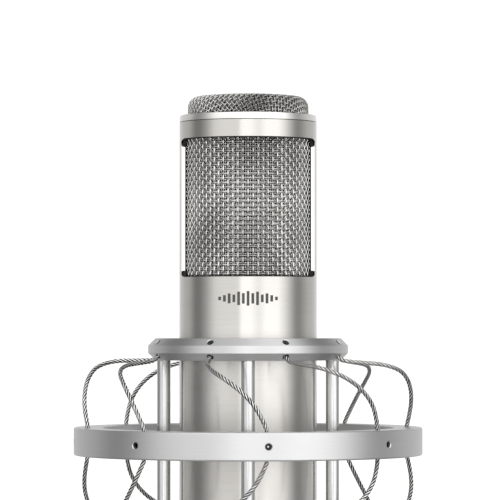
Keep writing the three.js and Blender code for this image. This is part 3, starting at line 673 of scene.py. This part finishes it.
def dome_weave(name, radius, wire, pitch, turn_degrees, top, bottom, per_crossing, sides):
    """A flat woven sheet pressed over the dome: two families of wires, dragged down its sides."""
    inset = 2 * wire
    meridian = dome_meridian(radius - inset, DOME_CORNER - inset, DOME_CROWN, top - inset, bottom)
    lengths, points, outward = meridian
    reach = lengths[-1]
    half = int(reach / pitch)
    turn = math.radians(turn_degrees)
    all_points, all_quads, offset = [], [], 0
    for family in (0, 1):
        for line in range(-half, half + 1):
            across = line * pitch
            limit = math.sqrt(max(reach**2 - across**2, 0))
            if limit < 2 * pitch:
                continue
            last = int(limit / pitch * per_crossing)
            steps = np.arange(-last, last + 1) / per_crossing
            along = steps * pitch
            flat = np.stack([along, np.full_like(along, across)], 1)
            if family:
                flat = flat[:, ::-1]
            s = np.linalg.norm(flat, axis=1)
            phi = np.arctan2(flat[:, 1], flat[:, 0]) + turn
            r = np.interp(s, lengths, points[:, 0])
            z = np.interp(s, lengths, points[:, 1])
            n_r = np.interp(s, lengths, outward[:, 0])
            n_z = np.interp(s, lengths, outward[:, 1])
            normal = np.stack([n_r * np.cos(phi), n_r * np.sin(phi), n_z], 1)
            sign = (1 if line % 2 == 0 else -1) * (1 if family == 0 else -1)
            lift = wire * sign * np.cos(math.pi * steps)
            centre = np.stack([r * np.cos(phi), r * np.sin(phi), z], 1) + lift[:, None] * normal
            ring, quads = tubes(centre[None], normal[None], wire, sides)
            all_points.append(ring)
            all_quads.append(quads + offset)
            offset += len(ring)
    return quad_object(name, np.concatenate(all_points), np.concatenate(all_quads))


def grilles():
    """The side grille and the dome, each a coarse weave over a fine one, and a dark sheet of painted shade
    behind them.
    """
    wire = 0.27
    dome_r = 0.24
    fine_r = 0.15
    weave_turn = 27
    low, high = level("side_grille", 0) + 0.3, level("side_grille", 1) - 0.3
    coarse = side_weave("side_weave", WEAVE_R - 2 * wire, wire, 76, 36, low, high, 4, 6)
    finish_piece(coarse[0], "microphone", grille_wire, ["side_grille"])
    # The hoops take the darker copy of the grille wire: painted shade.
    finish_piece(coarse[1], "microphone", painted_shade_hoop_wire)
    screen_r = WEAVE_R - 4 * wire - 2 * fine_r
    fine = side_weave("fine_weave", screen_r, fine_r, 160, 70, low, high - 1.5, 2, 4)
    # The side screen's lighter wire is painted light against the shade of the coarse weave.
    finish_piece(fine[0], "microphone", painted_light_screen_wire, ["inner_screen"])
    finish_piece(fine[1], "microphone", painted_light_screen_wire)
    bottom = level("top_grille", 0) + 0.4
    dome = dome_weave("dome_weave", DOME_R, dome_r, 1.35, weave_turn, DOME_TOP, bottom, 4, 6)
    finish_piece(dome, "microphone", dome_wire, ["top_grille"])
    under_dome = DOME_R - 4 * wire
    inner_top = level("inner_screen", 1)
    inner = dome_weave("fine_dome", under_dome - 0.05, fine_r, 0.85, weave_turn, inner_top, bottom, 2, 4)
    finish_piece(inner, "microphone", dome_screen)
    shade_backing(low, high - 2, screen_r - 2 * fine_r - 0.1, under_dome - 4 * fine_r - 0.2, inner_top - 0.6)


def shade_backing(low, shoulder, wall_r, dome_r, top):
    """A thin dark sheet behind the screens: painted shade for the dark inside of the head."""
    thickness = 0.12
    outside = [(wall_r, low), (wall_r, shoulder), (dome_r, shoulder + 1.5)]
    _, meridian, _ = dome_meridian(dome_r, DOME_CORNER - 1.5, DOME_CROWN, top, shoulder + 1.6)
    outside += [tuple(p) for p in meridian[::-1]]
    inside = [(max(r - thickness, 0), z - (thickness if z > shoulder + 2 else 0)) for r, z in outside[::-1]]
    dark_backing = turned("inner_dark_sheet", outside + inside, 120)
    finish_piece(shade(dark_backing, 60), "microphone", backing_shade)


# ---- Cage rings ----
CHAMFER_R = CAGE_R - CAGE_CHAMFER / 2
CHAMFER_Z = CAGE_H / 2 - CAGE_CHAMFER / 2


def hex_shape(rows):
    """Turns the listed profile points into a hexagon."""
    def shape(i, angles):
        if i not in rows:
            return np.ones(len(angles))
        return 1 / np.cos((angles % (math.pi / 3)) - math.pi / 6)
    return shape


def set_screw(name, at, along, length, depth):
    """A hex-socket set screw whose outer end is at `at`, with a bright spot on the socket's floor."""
    chamfer = 0.12
    spot = 0.5 * SCREW_APOTHEM
    profile = [
        (0, -length),
        (SCREW_R, -length),
        (SCREW_R, -chamfer),
        (SCREW_R - chamfer, 0),
        (SCREW_APOTHEM + 0.1, 0),
        (SCREW_APOTHEM, -0.1),
        (SCREW_APOTHEM, -depth),
        (spot, -depth),
        (0, -depth - 0.04),
    ]
    screw = turned(name, profile, 48, at, along, hex_shape({4, 5, 6}))
    floor = Vector(place(at)) - Vector(along).normalized() * depth * MM
    for face in screw.data.polygons:
        face.material_index = int((face.center - floor).length < spot * MM)
    return shade(screw)


def socket_cutter(radius, at, along, depth, flare):
    """A round hole of a depth below a surface point, with a small countersink."""
    profile = [(0, -depth), (radius, -depth), (radius, -flare), (radius + flare + 1, 1), (0, 1)]
    return turned("cutter", profile, 32, at, along)


def cage_ring(name, node, facing):
    """A ring of the cage. facing is 1 for the upper ring and -1 for the lower one, which has the floor."""
    h, c = CAGE_H / 2, CAGE_CHAMFER
    if facing > 0:
        inside = [(CAGE_BORE, h), (CAGE_BORE, -h)]
    else:
        hole = SPIGOT_R + 0.6
        inside = [(hole, h), (hole, h - CAGE_FLOOR), (CAGE_BORE, h - CAGE_FLOOR), (CAGE_BORE, -h)]
    outside = [(CAGE_R - c, -h), (CAGE_R, -h + c), (CAGE_R, h - c), (CAGE_R - c, h)]
    profile = rounded(outside + inside, [0.12] * 4 + [0.2] * len(inside), 3)
    profile[:, 1] = facing * profile[:, 1] + facing * CAGE_OFFSET
    ring = turned(name, profile, 240)
    cuts = []
    screws = []
    for angle in ROPE_ANGLES:
        out_up = polar(1, angle, facing)
        out_down = polar(1, angle, -facing)
        upper = polar(CHAMFER_R, angle, facing * (CAGE_OFFSET + CHAMFER_Z))
        lower = polar(CHAMFER_R, angle, facing * (CAGE_OFFSET - CHAMFER_Z))
        cuts.append(socket_cutter(1.1, upper, out_up, 2.4, 0.22))
        cuts.append(socket_cutter(ROPE_R + 0.35, lower, out_down, ROPE_SOCKET + 0.2, 0.12))
        screws.append(set_screw("screw", upper - 0.9 * out_up / math.sqrt(2), out_up, 1.4, 0.9))
    end = facing * (CAGE_OFFSET - h)
    for angle in (0, 90, 180, 270):
        start = polar(ROD_CIRCLE, angle, end - facing)
        cuts.append(cutter(ROD_R + 0.1, start, polar(ROD_CIRCLE, angle, end + facing * 2.9), 48))
    combine(ring, cuts)
    shade_turned(ring)
    finish_piece(ring, "cage", satin, [node])
    screws = joined(name + "_set_screws", screws)
    finish_piece(screws, "cage", dark_steel, second=bright_steel)


def cage_rods():
    low, high = level("cage_rod_1", 0), level("cage_rod_1", 1)
    for i in range(4):
        profile = rounded(rectangle(0, ROD_R, low, high), [0, 0.3, 0.3, 0], 4)
        rod = turned(f"rod_{i + 1}", profile, 64, polar(ROD_CIRCLE, 90 * i))
        finish_piece(shade(rod), "cage", polished, [f"cage_rod_{i + 1}"])


def knurled(count, depth, rows):
    """Scales the listed profile points to a ring of small teeth."""
    def shape(i, angles):
        if i not in rows:
            return np.ones(len(angles))
        return 1 - depth * np.abs((angles * count / (2 * math.pi)) % 1 - 0.5) * 2
    return shape


def ring_nut():
    low, high = level("ring_nut", 0), level("ring_nut", 1)
    r = size("ring_nut", 0) / 2 - 0.05
    hole = SPIGOT_R + GAP
    profile = [
        (hole, low),
        (r - 1.2, low),
        (r - 0.5, low + 0.7),
        (r, low + 1),
        (r, high - 1),
        (r - 0.5, high - 0.7),
        (r - 1.2, high),
        (hole, high),
    ]
    nut = turned("ring_nut_knurled", profile, 480, shape=knurled(60, 0.022, {3, 4}))
    finish_piece(shade(nut, 25), "ring_nut", satin, ["ring_nut"])


def base():
    """The base cap with its threaded spigot and connector cavity."""
    low, high = level("base_cap", 0), level("base_cap", 1)
    bottom = level("lower_ring", 0) + CAGE_FLOOR + GAP
    cavity = 8.1
    ledge = low + 15
    flange = bottom + 2
    plug = MIC_R - MIC_WALL - GAP
    root = SPIGOT_R - 0.45
    profile = [
        (cavity, low),
        (cavity + 0.3, low),
        (SPIGOT_R - 0.6, low),
        *thread(low + 0.8, bottom - 1.2, 1.0, root, SPIGOT_R),
        (root, bottom),
        (MIC_R - 0.6, bottom),
        (MIC_R - 0.15, bottom + 0.25),
        (MIC_R, bottom + 0.6),
        (MIC_R, flange),
        (plug, flange),
        (plug, high),
        (cavity - 1.6, high),
        (cavity - 1.6, ledge),
        (cavity, ledge),
    ]
    cap_piece = turned("base_cap_turned", profile, 192)
    screw_x = MIC_R - 5
    cuts = []
    for x in (-screw_x, screw_x):
        cuts.append(cutter(1.3, (x, 0, bottom - 1), (x, 0, high + 1)))
        cuts.append(cutter(2.3, (x, 0, bottom - 1), (x, 0, bottom + 1.8)))
    combine(cap_piece, cuts)
    shade_turned(cap_piece)
    finish_piece(cap_piece, "microphone", champagne, ["base_cap"])


# ---- Wire ropes ----
# The route from a cage ring to the outer ring, as shares of the way out, of the sweep and of the height,
# and how much higher each rope's shoulder springs.
ROPE_ROUTE = [
    (0.087, 0.017, 0.954),
    (0.262, 0.076, 0.924),
    (0.441, 0.152, 0.9),
    (0.62, 0.241, 0.873),
    (0.776, 0.345, 0.829),
    (0.906, 0.483, 0.761),
    (0.991, 0.641, 0.659),
    (1.036, 0.779, 0.537),
    (1.045, 0.876, 0.414),
    (1.027, 0.945, 0.292),
]
ROPE_LIFTS = (0.02, 0.055, 0.03, 0.05, 0.06, 0.1, 0.04, 0)


def rope_points(angle, lift):
    """The rope's route as in CAD: out of the upper ring, through the outer ring, back to the lower ring."""
    def in_socket(depth):
        step = depth * math.sqrt(0.5)
        return CHAMFER_R - step, CAGE_OFFSET - CHAMFER_Z + step
    end, mouth = in_socket(ROPE_SOCKET), in_socket(0)
    upper = [polar(end[0], angle, end[1]), polar(mouth[0], angle, mouth[1])]
    for out, turn, height in ROPE_ROUTE:
        radius = mouth[0] + out * (ROPE_CIRCLE - mouth[0])
        raised = height + lift * math.sin(math.pi * turn)
        upper.append(polar(radius, angle + turn * ROPE_SWEEP, raised * mouth[1]))
    upper.append(polar(ROPE_CIRCLE, angle + ROPE_SWEEP, OUTER_H / 2))
    middle = polar(ROPE_CIRCLE, angle + ROPE_SWEEP, 0)
    lower = [p * (1, 1, -1) for p in reversed(upper)]
    return np.array(upper + [middle] + lower)


def smooth_route(points, step):
    """A centripetal Catmull-Rom curve through the points, sampled evenly."""
    ends = np.vstack([2 * points[0] - points[1], points, 2 * points[-1] - points[-2]])
    fine = []
    for a, b, c, d in zip(ends, ends[1:], ends[2:], ends[3:]):
        t1 = np.linalg.norm(b - a) ** 0.5
        t2 = t1 + np.linalg.norm(c - b) ** 0.5
        t3 = t2 + np.linalg.norm(d - c) ** 0.5
        t = np.linspace(t1, t2, 24, endpoint=False)[:, None]
        ab = (t1 - t) / t1 * a + t / t1 * b
        bc = (t2 - t) / (t2 - t1) * b + (t - t1) / (t2 - t1) * c
        cd = (t3 - t) / (t3 - t2) * c + (t - t2) / (t3 - t2) * d
        abc = (t2 - t) / t2 * ab + t / t2 * bc
        bcd = (t3 - t) / (t3 - t1) * bc + (t - t1) / (t3 - t1) * cd
        fine.append((t2 - t) / (t2 - t1) * abc + (t - t1) / (t2 - t1) * bcd)
    fine = np.vstack(fine + [points[-1:]])
    lengths = np.concatenate([[0], np.cumsum(np.linalg.norm(np.diff(fine, axis=0), axis=1))])
    wanted = np.linspace(0, lengths[-1], int(lengths[-1] / step) + 1)
    return np.stack([np.interp(wanted, lengths, fine[:, i]) for i in range(3)], 1), wanted


def carried_frame(route):
    """Two directions square to the route, carried along it without twist."""
    along = np.gradient(route, axis=0)
    along /= np.linalg.norm(along, axis=1, keepdims=True)
    normal = np.cross(along[0], (0, 0, 1))
    normals = []
    for tangent in along:
        normal = normal - tangent * (normal @ tangent)
        normal = normal / np.linalg.norm(normal)
        normals.append(normal)
    normals = np.array(normals)
    return normals, np.cross(along, normals)


def strand(route, axes, turn, radius, offset_radius, sides):
    """One strand wound round the rope's middle, with its own wires showing as lobes.

    turn is the strand's angle round the rope at each step. The crown values are 1 on the outside of
    the rope, 0 in its grooves and lower between its wires; the rope's material paints shade by them.
    """
    first, second = axes
    direction = np.cos(turn)[:, None] * first + np.sin(turn)[:, None] * second
    centre = route + offset_radius * direction
    along = np.gradient(centre, axis=0)
    along /= np.linalg.norm(along, axis=1, keepdims=True)
    side = np.cross(along, direction)
    side /= np.linalg.norm(side, axis=1, keepdims=True)
    up = np.cross(side, along)
    around = np.arange(sides) * 2 * math.pi / sides
    wire_turn = (turn[0] - turn) / 0.45
    ripple = 1 - 0.13 * (1 - np.abs(np.sin(3 * (around[None] + wire_turn[:, None]))))
    ring = np.cos(around)[None, :, None] * up[:, None] + np.sin(around)[None, :, None] * side[:, None]
    points = centre[:, None] + radius * ripple[..., None] * ring
    away = np.linalg.norm(points - route[:, None], axis=2)
    # Crown values mask the painted shade: low in the rope's grooves and between a strand's wires.
    crown = np.clip((away / ROPE_R - 0.62) / 0.38, 0, 1) - 0.3 * (1 - ripple)
    return points.reshape(-1, 3), grid_quads(1, len(centre), sides, False), crown.ravel()


def wire_rope(number, angle):
    """A rope of five strands round a core, its middle held by the outer ring and its ends by the cage."""
    route, lengths = smooth_route(rope_points(angle, ROPE_LIFTS[number - 1]), 0.34)
    axes = carried_frame(route)
    turn = 2 * math.pi * lengths / ROPE_LAY
    strands = 5
    strand_r = 0.28
    parts = [
        strand(route, axes, turn + 2 * math.pi * k / strands, strand_r, ROPE_R - strand_r, 14)
        for k in range(strands)
    ]
    parts.append(strand(route, axes, turn, strand_r, 0, 8))
    offsets = np.cumsum([0] + [len(points) for points, _, _ in parts])
    points = np.concatenate([part[0] for part in parts])
    quads = np.concatenate([part[1] + offset for part, offset in zip(parts, offsets)])
    rope = quad_object(f"stranded_rope_{number}", points, quads)
    # The crown values carry the painted shade of the grooves to the rope's material.
    crowns = rope.data.attributes.new("crown", "FLOAT", "POINT")
    crowns.data.foreach_set("value", np.concatenate([part[2] for part in parts]).astype(np.float32))
    rope.data.materials.append(rope_wire)
    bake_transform(rope)
    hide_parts(f"wire_rope_{number}")


# ---- Outer ring, its screws, and the arm ----
SADDLE_INNER = OUTER_R + GAP
SADDLE_OUTER = SADDLE_INNER + 4.2
ARM_SCREW_ANGLES = (168.5, 191.5)
KEY_HOLE_ANGLE = 186.5  # lets a key reach the rope's set screw behind the arm


def outer_ring():
    h = OUTER_H / 2
    profile = rounded(rectangle(OUTER_INNER_R, OUTER_R, -h, h), [0.4, 0.55, 0.55, 0.4], 5)
    ring = turned("outer_ring_turned", profile, 320)
    cuts = []
    for number, angle in enumerate(ROPE_ANGLES, 1):
        at = angle + ROPE_SWEEP
        cuts.append(cutter(ROPE_R + 0.25, polar(ROPE_CIRCLE, at, -h - 1), polar(ROPE_CIRCLE, at, h + 1), 24))
        face = polar(OUTER_R, at)
        outward = polar(1, at)
        cuts.append(socket_cutter(1.06, face, outward, OUTER_R - ROPE_CIRCLE - 0.2, 0.28))
        end = face - 0.7 * outward
        screw = set_screw(f"set_screw_{number}", end, outward, 3.3, 1.3)
        node = f"rope_set_screw_{number}"
        finish_piece(screw, "suspension_frame", dark_steel, [node], bright_steel)
    for angle in ARM_SCREW_ANGLES:
        cuts.append(cutter(1.6, polar(OUTER_R - 5.5, angle), polar(OUTER_R + 1, angle)))
    combine(ring, cuts)
    shade_turned(ring)
    finish_piece(ring, "suspension_frame", satin, ["outer_ring"])


def arc(centre, radius, start, end, steps):
    """Points on an arc in a plane, angles in degrees."""
    angles = np.radians(np.linspace(start, end, steps))
    return [(centre[0] + radius * math.cos(a), centre[1] + radius * math.sin(a)) for a in angles]


def curve_points(start, control, end, steps):
    start, control, end = (np.array(p, float) for p in (start, control, end))
    t = np.linspace(0, 1, steps)[:, None]
    return [tuple(p) for p in (1 - t) ** 2 * start + 2 * t * (1 - t) * control + t**2 * end]


def rear_arm():
    h = OUTER_H / 2
    front = SADDLE_INNER + 1
    back = front + 6.7
    outline = [(front, h - 1), (front, TILT_Z / 2)]
    outline += arc((ARM_REACH, TILT_Z), KNUCKLE_R, 180, 360, 33)
    start = (ARM_REACH + KNUCKLE_R, TILT_Z)
    control = (ARM_REACH + KNUCKLE_R - 2, TILT_Z + 18)
    outline += curve_points(start, control, (back, TILT_Z / 3), 16)[1:]
    outline += [(back, h - 3), (back - 2, h - 1)]
    arm = extruded("rear_arm_milled", outline, -ARM_WIDTH / 2, ARM_WIDTH / 2, ("y", "z", "x"))
    saddle_outline = arc((0, 0), SADDLE_OUTER, 75, 105, 40) + arc((0, 0), SADDLE_INNER, 105, 75, 40)
    saddle = extruded("saddle", saddle_outline, -h, h)
    combine(arm, [saddle], "UNION")
    cuts = [cutter(BOLT_HOLE_R, (-ARM_WIDTH, ARM_REACH, TILT_Z), (ARM_WIDTH, ARM_REACH, TILT_Z), 48)]
    for angle in ARM_SCREW_ANGLES:
        cuts.append(cutter(1.75, polar(OUTER_R - 1, angle), polar(SADDLE_OUTER + 2, angle)))
    cuts.append(cutter(1.4, polar(OUTER_R - 1, KEY_HOLE_ANGLE), polar(SADDLE_OUTER + 4, KEY_HOLE_ANGLE)))
    combine(arm, cuts)
    bevel_edges(arm, 0.35, 35)
    finish_piece(arm, "suspension_frame", satin_block, ["rear_arm"])


def cap_screw(name, at, along, head_r, head_h, shank_r, shank_length, apothem):
    """A socket head cap screw; `at` is the seat of its head and `along` points out of the head."""
    profile = [
        (0, -shank_length),
        (shank_r - 0.3, -shank_length),
        (shank_r, -shank_length + 0.3),
        (shank_r, 0),
        (head_r, 0),
        (head_r, head_h - 0.35),
        (head_r - 0.35, head_h),
        (apothem + 0.2, head_h),
        (apothem, head_h - 0.2),
        (apothem, head_h * 0.45),
        (0, head_h * 0.38),
    ]
    return shade(turned(name, profile, 64, at, along, hex_shape({7, 8, 9})))


def arm_screws():
    seat = SADDLE_OUTER + GAP
    for name, angle in (("left", ARM_SCREW_ANGLES[1]), ("right", ARM_SCREW_ANGLES[0])):
        at = polar(seat, angle)
        screw = cap_screw(f"saddle_screw_{name}", at, polar(1, angle), 2.7, 2.95, 1.4, 9.0, 1.25)
        finish_piece(screw, "suspension_frame", dark_steel, [f"arm_screw_{name}"])


# ---- Stand adapter ----
EAR_INNER = ARM_WIDTH / 2 + 1 + 2 * GAP  # the arm, a friction washer and the gaps
EAR_OUTER = EAR_INNER + 6.5


def stand_socket():
    r = 15
    top = STAND_BASE + 20
    axis = (0, ARM_REACH, 0)
    profile = rounded(rectangle(0, r, STAND_BASE, top), [0, 0.8, 0, 0], 5)
    body = turned("stand_socket_milled", profile, 160, axis)
    outline = [(ARM_REACH - KNUCKLE_R, top - 2), (ARM_REACH + KNUCKLE_R, top - 2)]
    outline += arc((ARM_REACH, TILT_Z), KNUCKLE_R, 0, 180, 41)
    ears = extruded("ears", outline, -EAR_OUTER, EAR_OUTER, ("y", "z", "x"))
    combine(body, [ears], "UNION")
    envelope = turned("envelope", rectangle(0, r, STAND_BASE - 1, 0), 160, axis)
    combine(body, [envelope], "INTERSECT")
    y0, y1 = ARM_REACH - 2 * KNUCKLE_R, ARM_REACH + 2 * KNUCKLE_R
    slot = rounded(rectangle(-EAR_INNER, EAR_INNER, top, 0), [1.2, 1.2, 0, 0], 5)
    cuts = [extruded("slot", slot, y0, y1, ("x", "z", "y"))]
    x = 2 * EAR_OUTER
    cuts.append(cutter(BOLT_HOLE_R, (-x, ARM_REACH, TILT_Z), (x, ARM_REACH, TILT_Z), 48))
    combine(body, cuts)
    bore = STAND_BORE_R
    floor_z = STAND_BASE + 15
    wall = [(0, STAND_BASE - 1), (bore + 0.7, STAND_BASE - 1), (bore + 0.7, STAND_BASE)]
    wall += thread(STAND_BASE + 0.7, floor_z - 0.5, STUD_PITCH, bore, bore + 0.4)
    wall += [(bore, floor_z), (0, floor_z)]
    combine(body, [turned("bore", wall, 96, axis)])
    bevel_edges(body, 0.3, 40)
    finish_piece(body, "stand_base", satin_block, ["stand_socket"])


def tilt_bolt():
    seat = EAR_OUTER + GAP
    at = (-seat, ARM_REACH, TILT_Z)
    bolt = cap_screw("tilt_bolt_turned", at, (-1, 0, 0), 4.95, 5.95, 2.95, 2 * seat + 9, 2.45)
    finish_piece(bolt, "stand_base", dark_steel, ["tilt_bolt"])


def tilt_knob():
    """A lobed clamping knob with a domed face and a hub."""
    seat = EAR_OUTER + GAP
    r = size("tilt_knob", 2) / 2 - 0.1
    hub, hub_length, length = 7, 4, 17
    profile = rounded(
        [
            (BOLT_HOLE_R, 0),
            (hub, 0),
            (hub, hub_length),
            (r, hub_length),
            (r, length),
            (0.55 * r, length - 0.8),
            (0, length - 0.8),
            (0, 9.3),
            (BOLT_HOLE_R, 9.3),
        ],
        [0.3, 0.5, 1.0, 1.6, 1.8, 1.0, 0, 0, 0],
        6,
    )
    def lobes(i, angles):
        reach = np.clip((profile[i, 0] - hub) / (r - hub), 0, 1)
        return 1 - 0.13 * reach * (0.5 - 0.5 * np.cos(7 * (angles + math.pi / 2)))
    knob = turned("tilt_knob_moulded", profile, 252, (seat, ARM_REACH, TILT_Z), (1, 0, 0), lobes)
    finish_piece(shade(knob, 50), "tilt_knob", plastic, ["tilt_knob"])


def thread_adapter():
    low, high = level("thread_adapter", 0), level("thread_adapter", 1)
    outer = size("thread_adapter", 0) / 2
    inner = outer - 3
    outside = thread(low + 0.6, high - 0.6, STUD_PITCH, outer - 0.4, outer)[:-1]
    inside = thread(low + 0.6, high - 0.6, STUD_PITCH, inner + 0.35, inner)[:-1]
    profile = [(inner + 0.5, low), (outer - 0.5, low)] + outside
    profile += [(outer - 0.5, high), (inner + 0.5, high)] + inside[::-1]
    bush = turned("thread_adapter_turned", profile, 96, (0, ARM_REACH, 0))
    notch = rectangle(-1.2, 1.2, low - 1, low + 1.6)
    combine(bush, [extruded("slot", notch, ARM_REACH - 10, ARM_REACH + 10, ("x", "z", "y"))])
    finish_piece(shade(bush, 25), "thread_adapter", brass, ["thread_adapter"])


# ---- All the pieces ----
housing()
cap()
level_mark()
seats()
grilles()
base()
cage_ring("upper_cage_ring", "upper_ring", 1)
cage_ring("lower_cage_ring", "lower_ring", -1)
cage_rods()
ring_nut()
for number, angle in enumerate(ROPE_ANGLES, 1):
    wire_rope(number, angle)
outer_ring()
rear_arm()
arm_screws()
stand_socket()
tilt_bolt()
tilt_knob()
thread_adapter()

# ---- CAD nodes that stay: their finish ----
KEPT = {
    "black_rubber": rubber,
    "dark_steel": dark_steel,
    "brass": brass,
    "gold": gold,
    "black_plastic": plastic,
    "circuit_board": circuit,
    "satin_aluminium": satin,
}
slots = {s["node"]: s["material_slot"] for s in frame["record"]["subparts"]}
for name, obj in frame["nodes"].items():
    if obj.hide_render:
        continue
    obj.data.materials.clear()
    obj.data.materials.append(KEPT[slots[name]])
    shade(obj)

# ---- Floor, light and camera ----
floor_mesh = bpy.data.meshes.new("floor")
floor_build = bmesh.new()
bmesh.ops.create_circle(floor_build, cap_ends=True, radius=1.1, segments=96)
floor_build.to_mesh(floor_mesh)
floor_build.free()
floor = bpy.data.objects.new("floor", floor_mesh)
floor.location = (0, CENTRE.y, -0.12)
bpy.context.scene.collection.objects.link(floor)
floor_material, _, floor_shader = node_tree("pale_floor")
floor_shader.inputs["Base Color"].default_value = (0.9, 0.9, 0.9, 1)
floor_shader.inputs["Roughness"].default_value = 0.9
floor_mesh.materials.append(floor_material)
floor.visible_glossy = False

# What the metal reflects: brightness by direction round the object, in degrees from the front.
STUDIO = [
    (-180, 0.95),
    (-156, 0.75),
    (-135, 0.64),
    (-116, 0.58),
    (-100, 0.27),
    (-88, 0.28),
    (-74, 0.54),
    (-58, 1.05),
    (-44, 1.16),
    (-16, 1.16),
    (-11, 1.8),
    (4, 1.8),
    (18, 1.42),
    (30, 1.78),
    (52, 1.76),
    (63, 1.35),
    (75, 0.82),
    (86, 0.42),
    (95, 0.35),
    (106, 0.5),
    (120, 0.66),
    (140, 0.72),
    (158, 0.85),
    (180, 0.95),
]
BRIGHTEST = 1.85


def studio_world():
    world = bpy.data.worlds.new("studio")
    bpy.context.scene.world = world
    world.use_nodes = True
    tree = world.node_tree
    tree.nodes.clear()
    direction = linked(tree, "ShaderNodeTexCoord").outputs["Generated"]
    parts = linked(tree, "ShaderNodeSeparateXYZ", {0: direction})
    forward = worked_out(tree, "MULTIPLY", parts.outputs["Y"], -1.0)
    angle = worked_out(tree, "ARCTAN2", parts.outputs["X"], forward)
    inputs = {"Value": angle, "From Min": -math.pi, "From Max": math.pi}
    share = linked(tree, "ShaderNodeMapRange", inputs).outputs["Result"]
    ramp = linked(tree, "ShaderNodeValToRGB", {"Fac": share})
    stops = ramp.color_ramp.elements
    while len(stops) > 1:
        stops.remove(stops[-1])
    for i, (degrees, value) in enumerate(STUDIO):
        stop = stops[0] if i == 0 else stops.new((degrees + 180) / 360)
        stop.position = (degrees + 180) / 360
        stop.color = (value / BRIGHTEST,) * 3 + (1,)
    around = worked_out(tree, "MULTIPLY", ramp.outputs["Color"], BRIGHTEST)
    height = parts.outputs["Z"]
    # Above the horizon the wall behind turns dark and the one in front bright. Overhead is a softbox.
    behind = spread(tree, parts.outputs["Y"], 0, 1, 0.0, 0.3)
    raised = spread(tree, height, 0, 1, 0.3, 0.62)
    dimmed = blend_values(tree, around, 0.2, worked_out(tree, "MULTIPLY", behind, raised))
    ahead = spread(tree, parts.outputs["Y"], 1, 0, -0.5, 0.1)
    fronted = blend_values(tree, dimmed, 1.55, worked_out(tree, "MULTIPLY", ahead, raised))
    overhead = spread(tree, height, 0, 1, 0.8, 0.93)
    softbox = spread(tree, parts.outputs["X"], 0.8, 1.45, -0.2, 0.15)
    topped = blend_values(tree, fronted, softbox, overhead)
    below = spread(tree, height, 0, 1, -0.3, -0.5)
    floor_glow = spread(tree, height, 0.18, 0.6, -0.55, -0.95)
    studio = blend_values(tree, topped, floor_glow, below)
    light = linked(tree, "ShaderNodeLightPath")
    seen = blend_values(tree, studio, 1.15, light.outputs["Is Camera Ray"])
    background = linked(tree, "ShaderNodeBackground", {"Color": (1, 1, 1, 1), "Strength": seen})
    linked(tree, "ShaderNodeOutputWorld", {"Surface": background.outputs[0]})


studio_world()

overhead_data = bpy.data.lights.new("overhead", "AREA")
overhead_data.size = 1.2
overhead_data.energy = 9
overhead = bpy.data.objects.new("overhead", overhead_data)
overhead.location = (0.2, CENTRE.y - 0.3, 1.4)
overhead.rotation_euler = (Vector((0, CENTRE.y, 0)) - overhead.location).to_track_quat("-Z", "Y").to_euler()
overhead.visible_glossy = False
bpy.context.scene.collection.objects.link(overhead)

SENSOR = 36
DISTANCE = 1.17
EYE = 39 * MM  # camera above the outer ring's middle plane
AIM = 66.6 * MM  # height of the middle of the picture at the microphone's axis
SEEN_WIDTH = 174.55 * MM
camera_data = bpy.data.cameras.new("camera")
camera_data.sensor_width = SENSOR
camera_data.lens = SENSOR * DISTANCE / SEEN_WIDTH
camera_data.clip_end = 20
camera = bpy.data.objects.new("camera", camera_data)
bpy.context.scene.collection.objects.link(camera)
aim = Vector((0.66 * MM, CENTRE.y, CENTRE.z + AIM))
camera.location = (aim.x, CENTRE.y - DISTANCE, CENTRE.z + EYE)
camera.rotation_euler = (aim - camera.location).to_track_quat("-Z", "Y").to_euler()
bpy.context.scene.camera = camera
bpy.context.scene.view_settings.view_transform = "Standard"
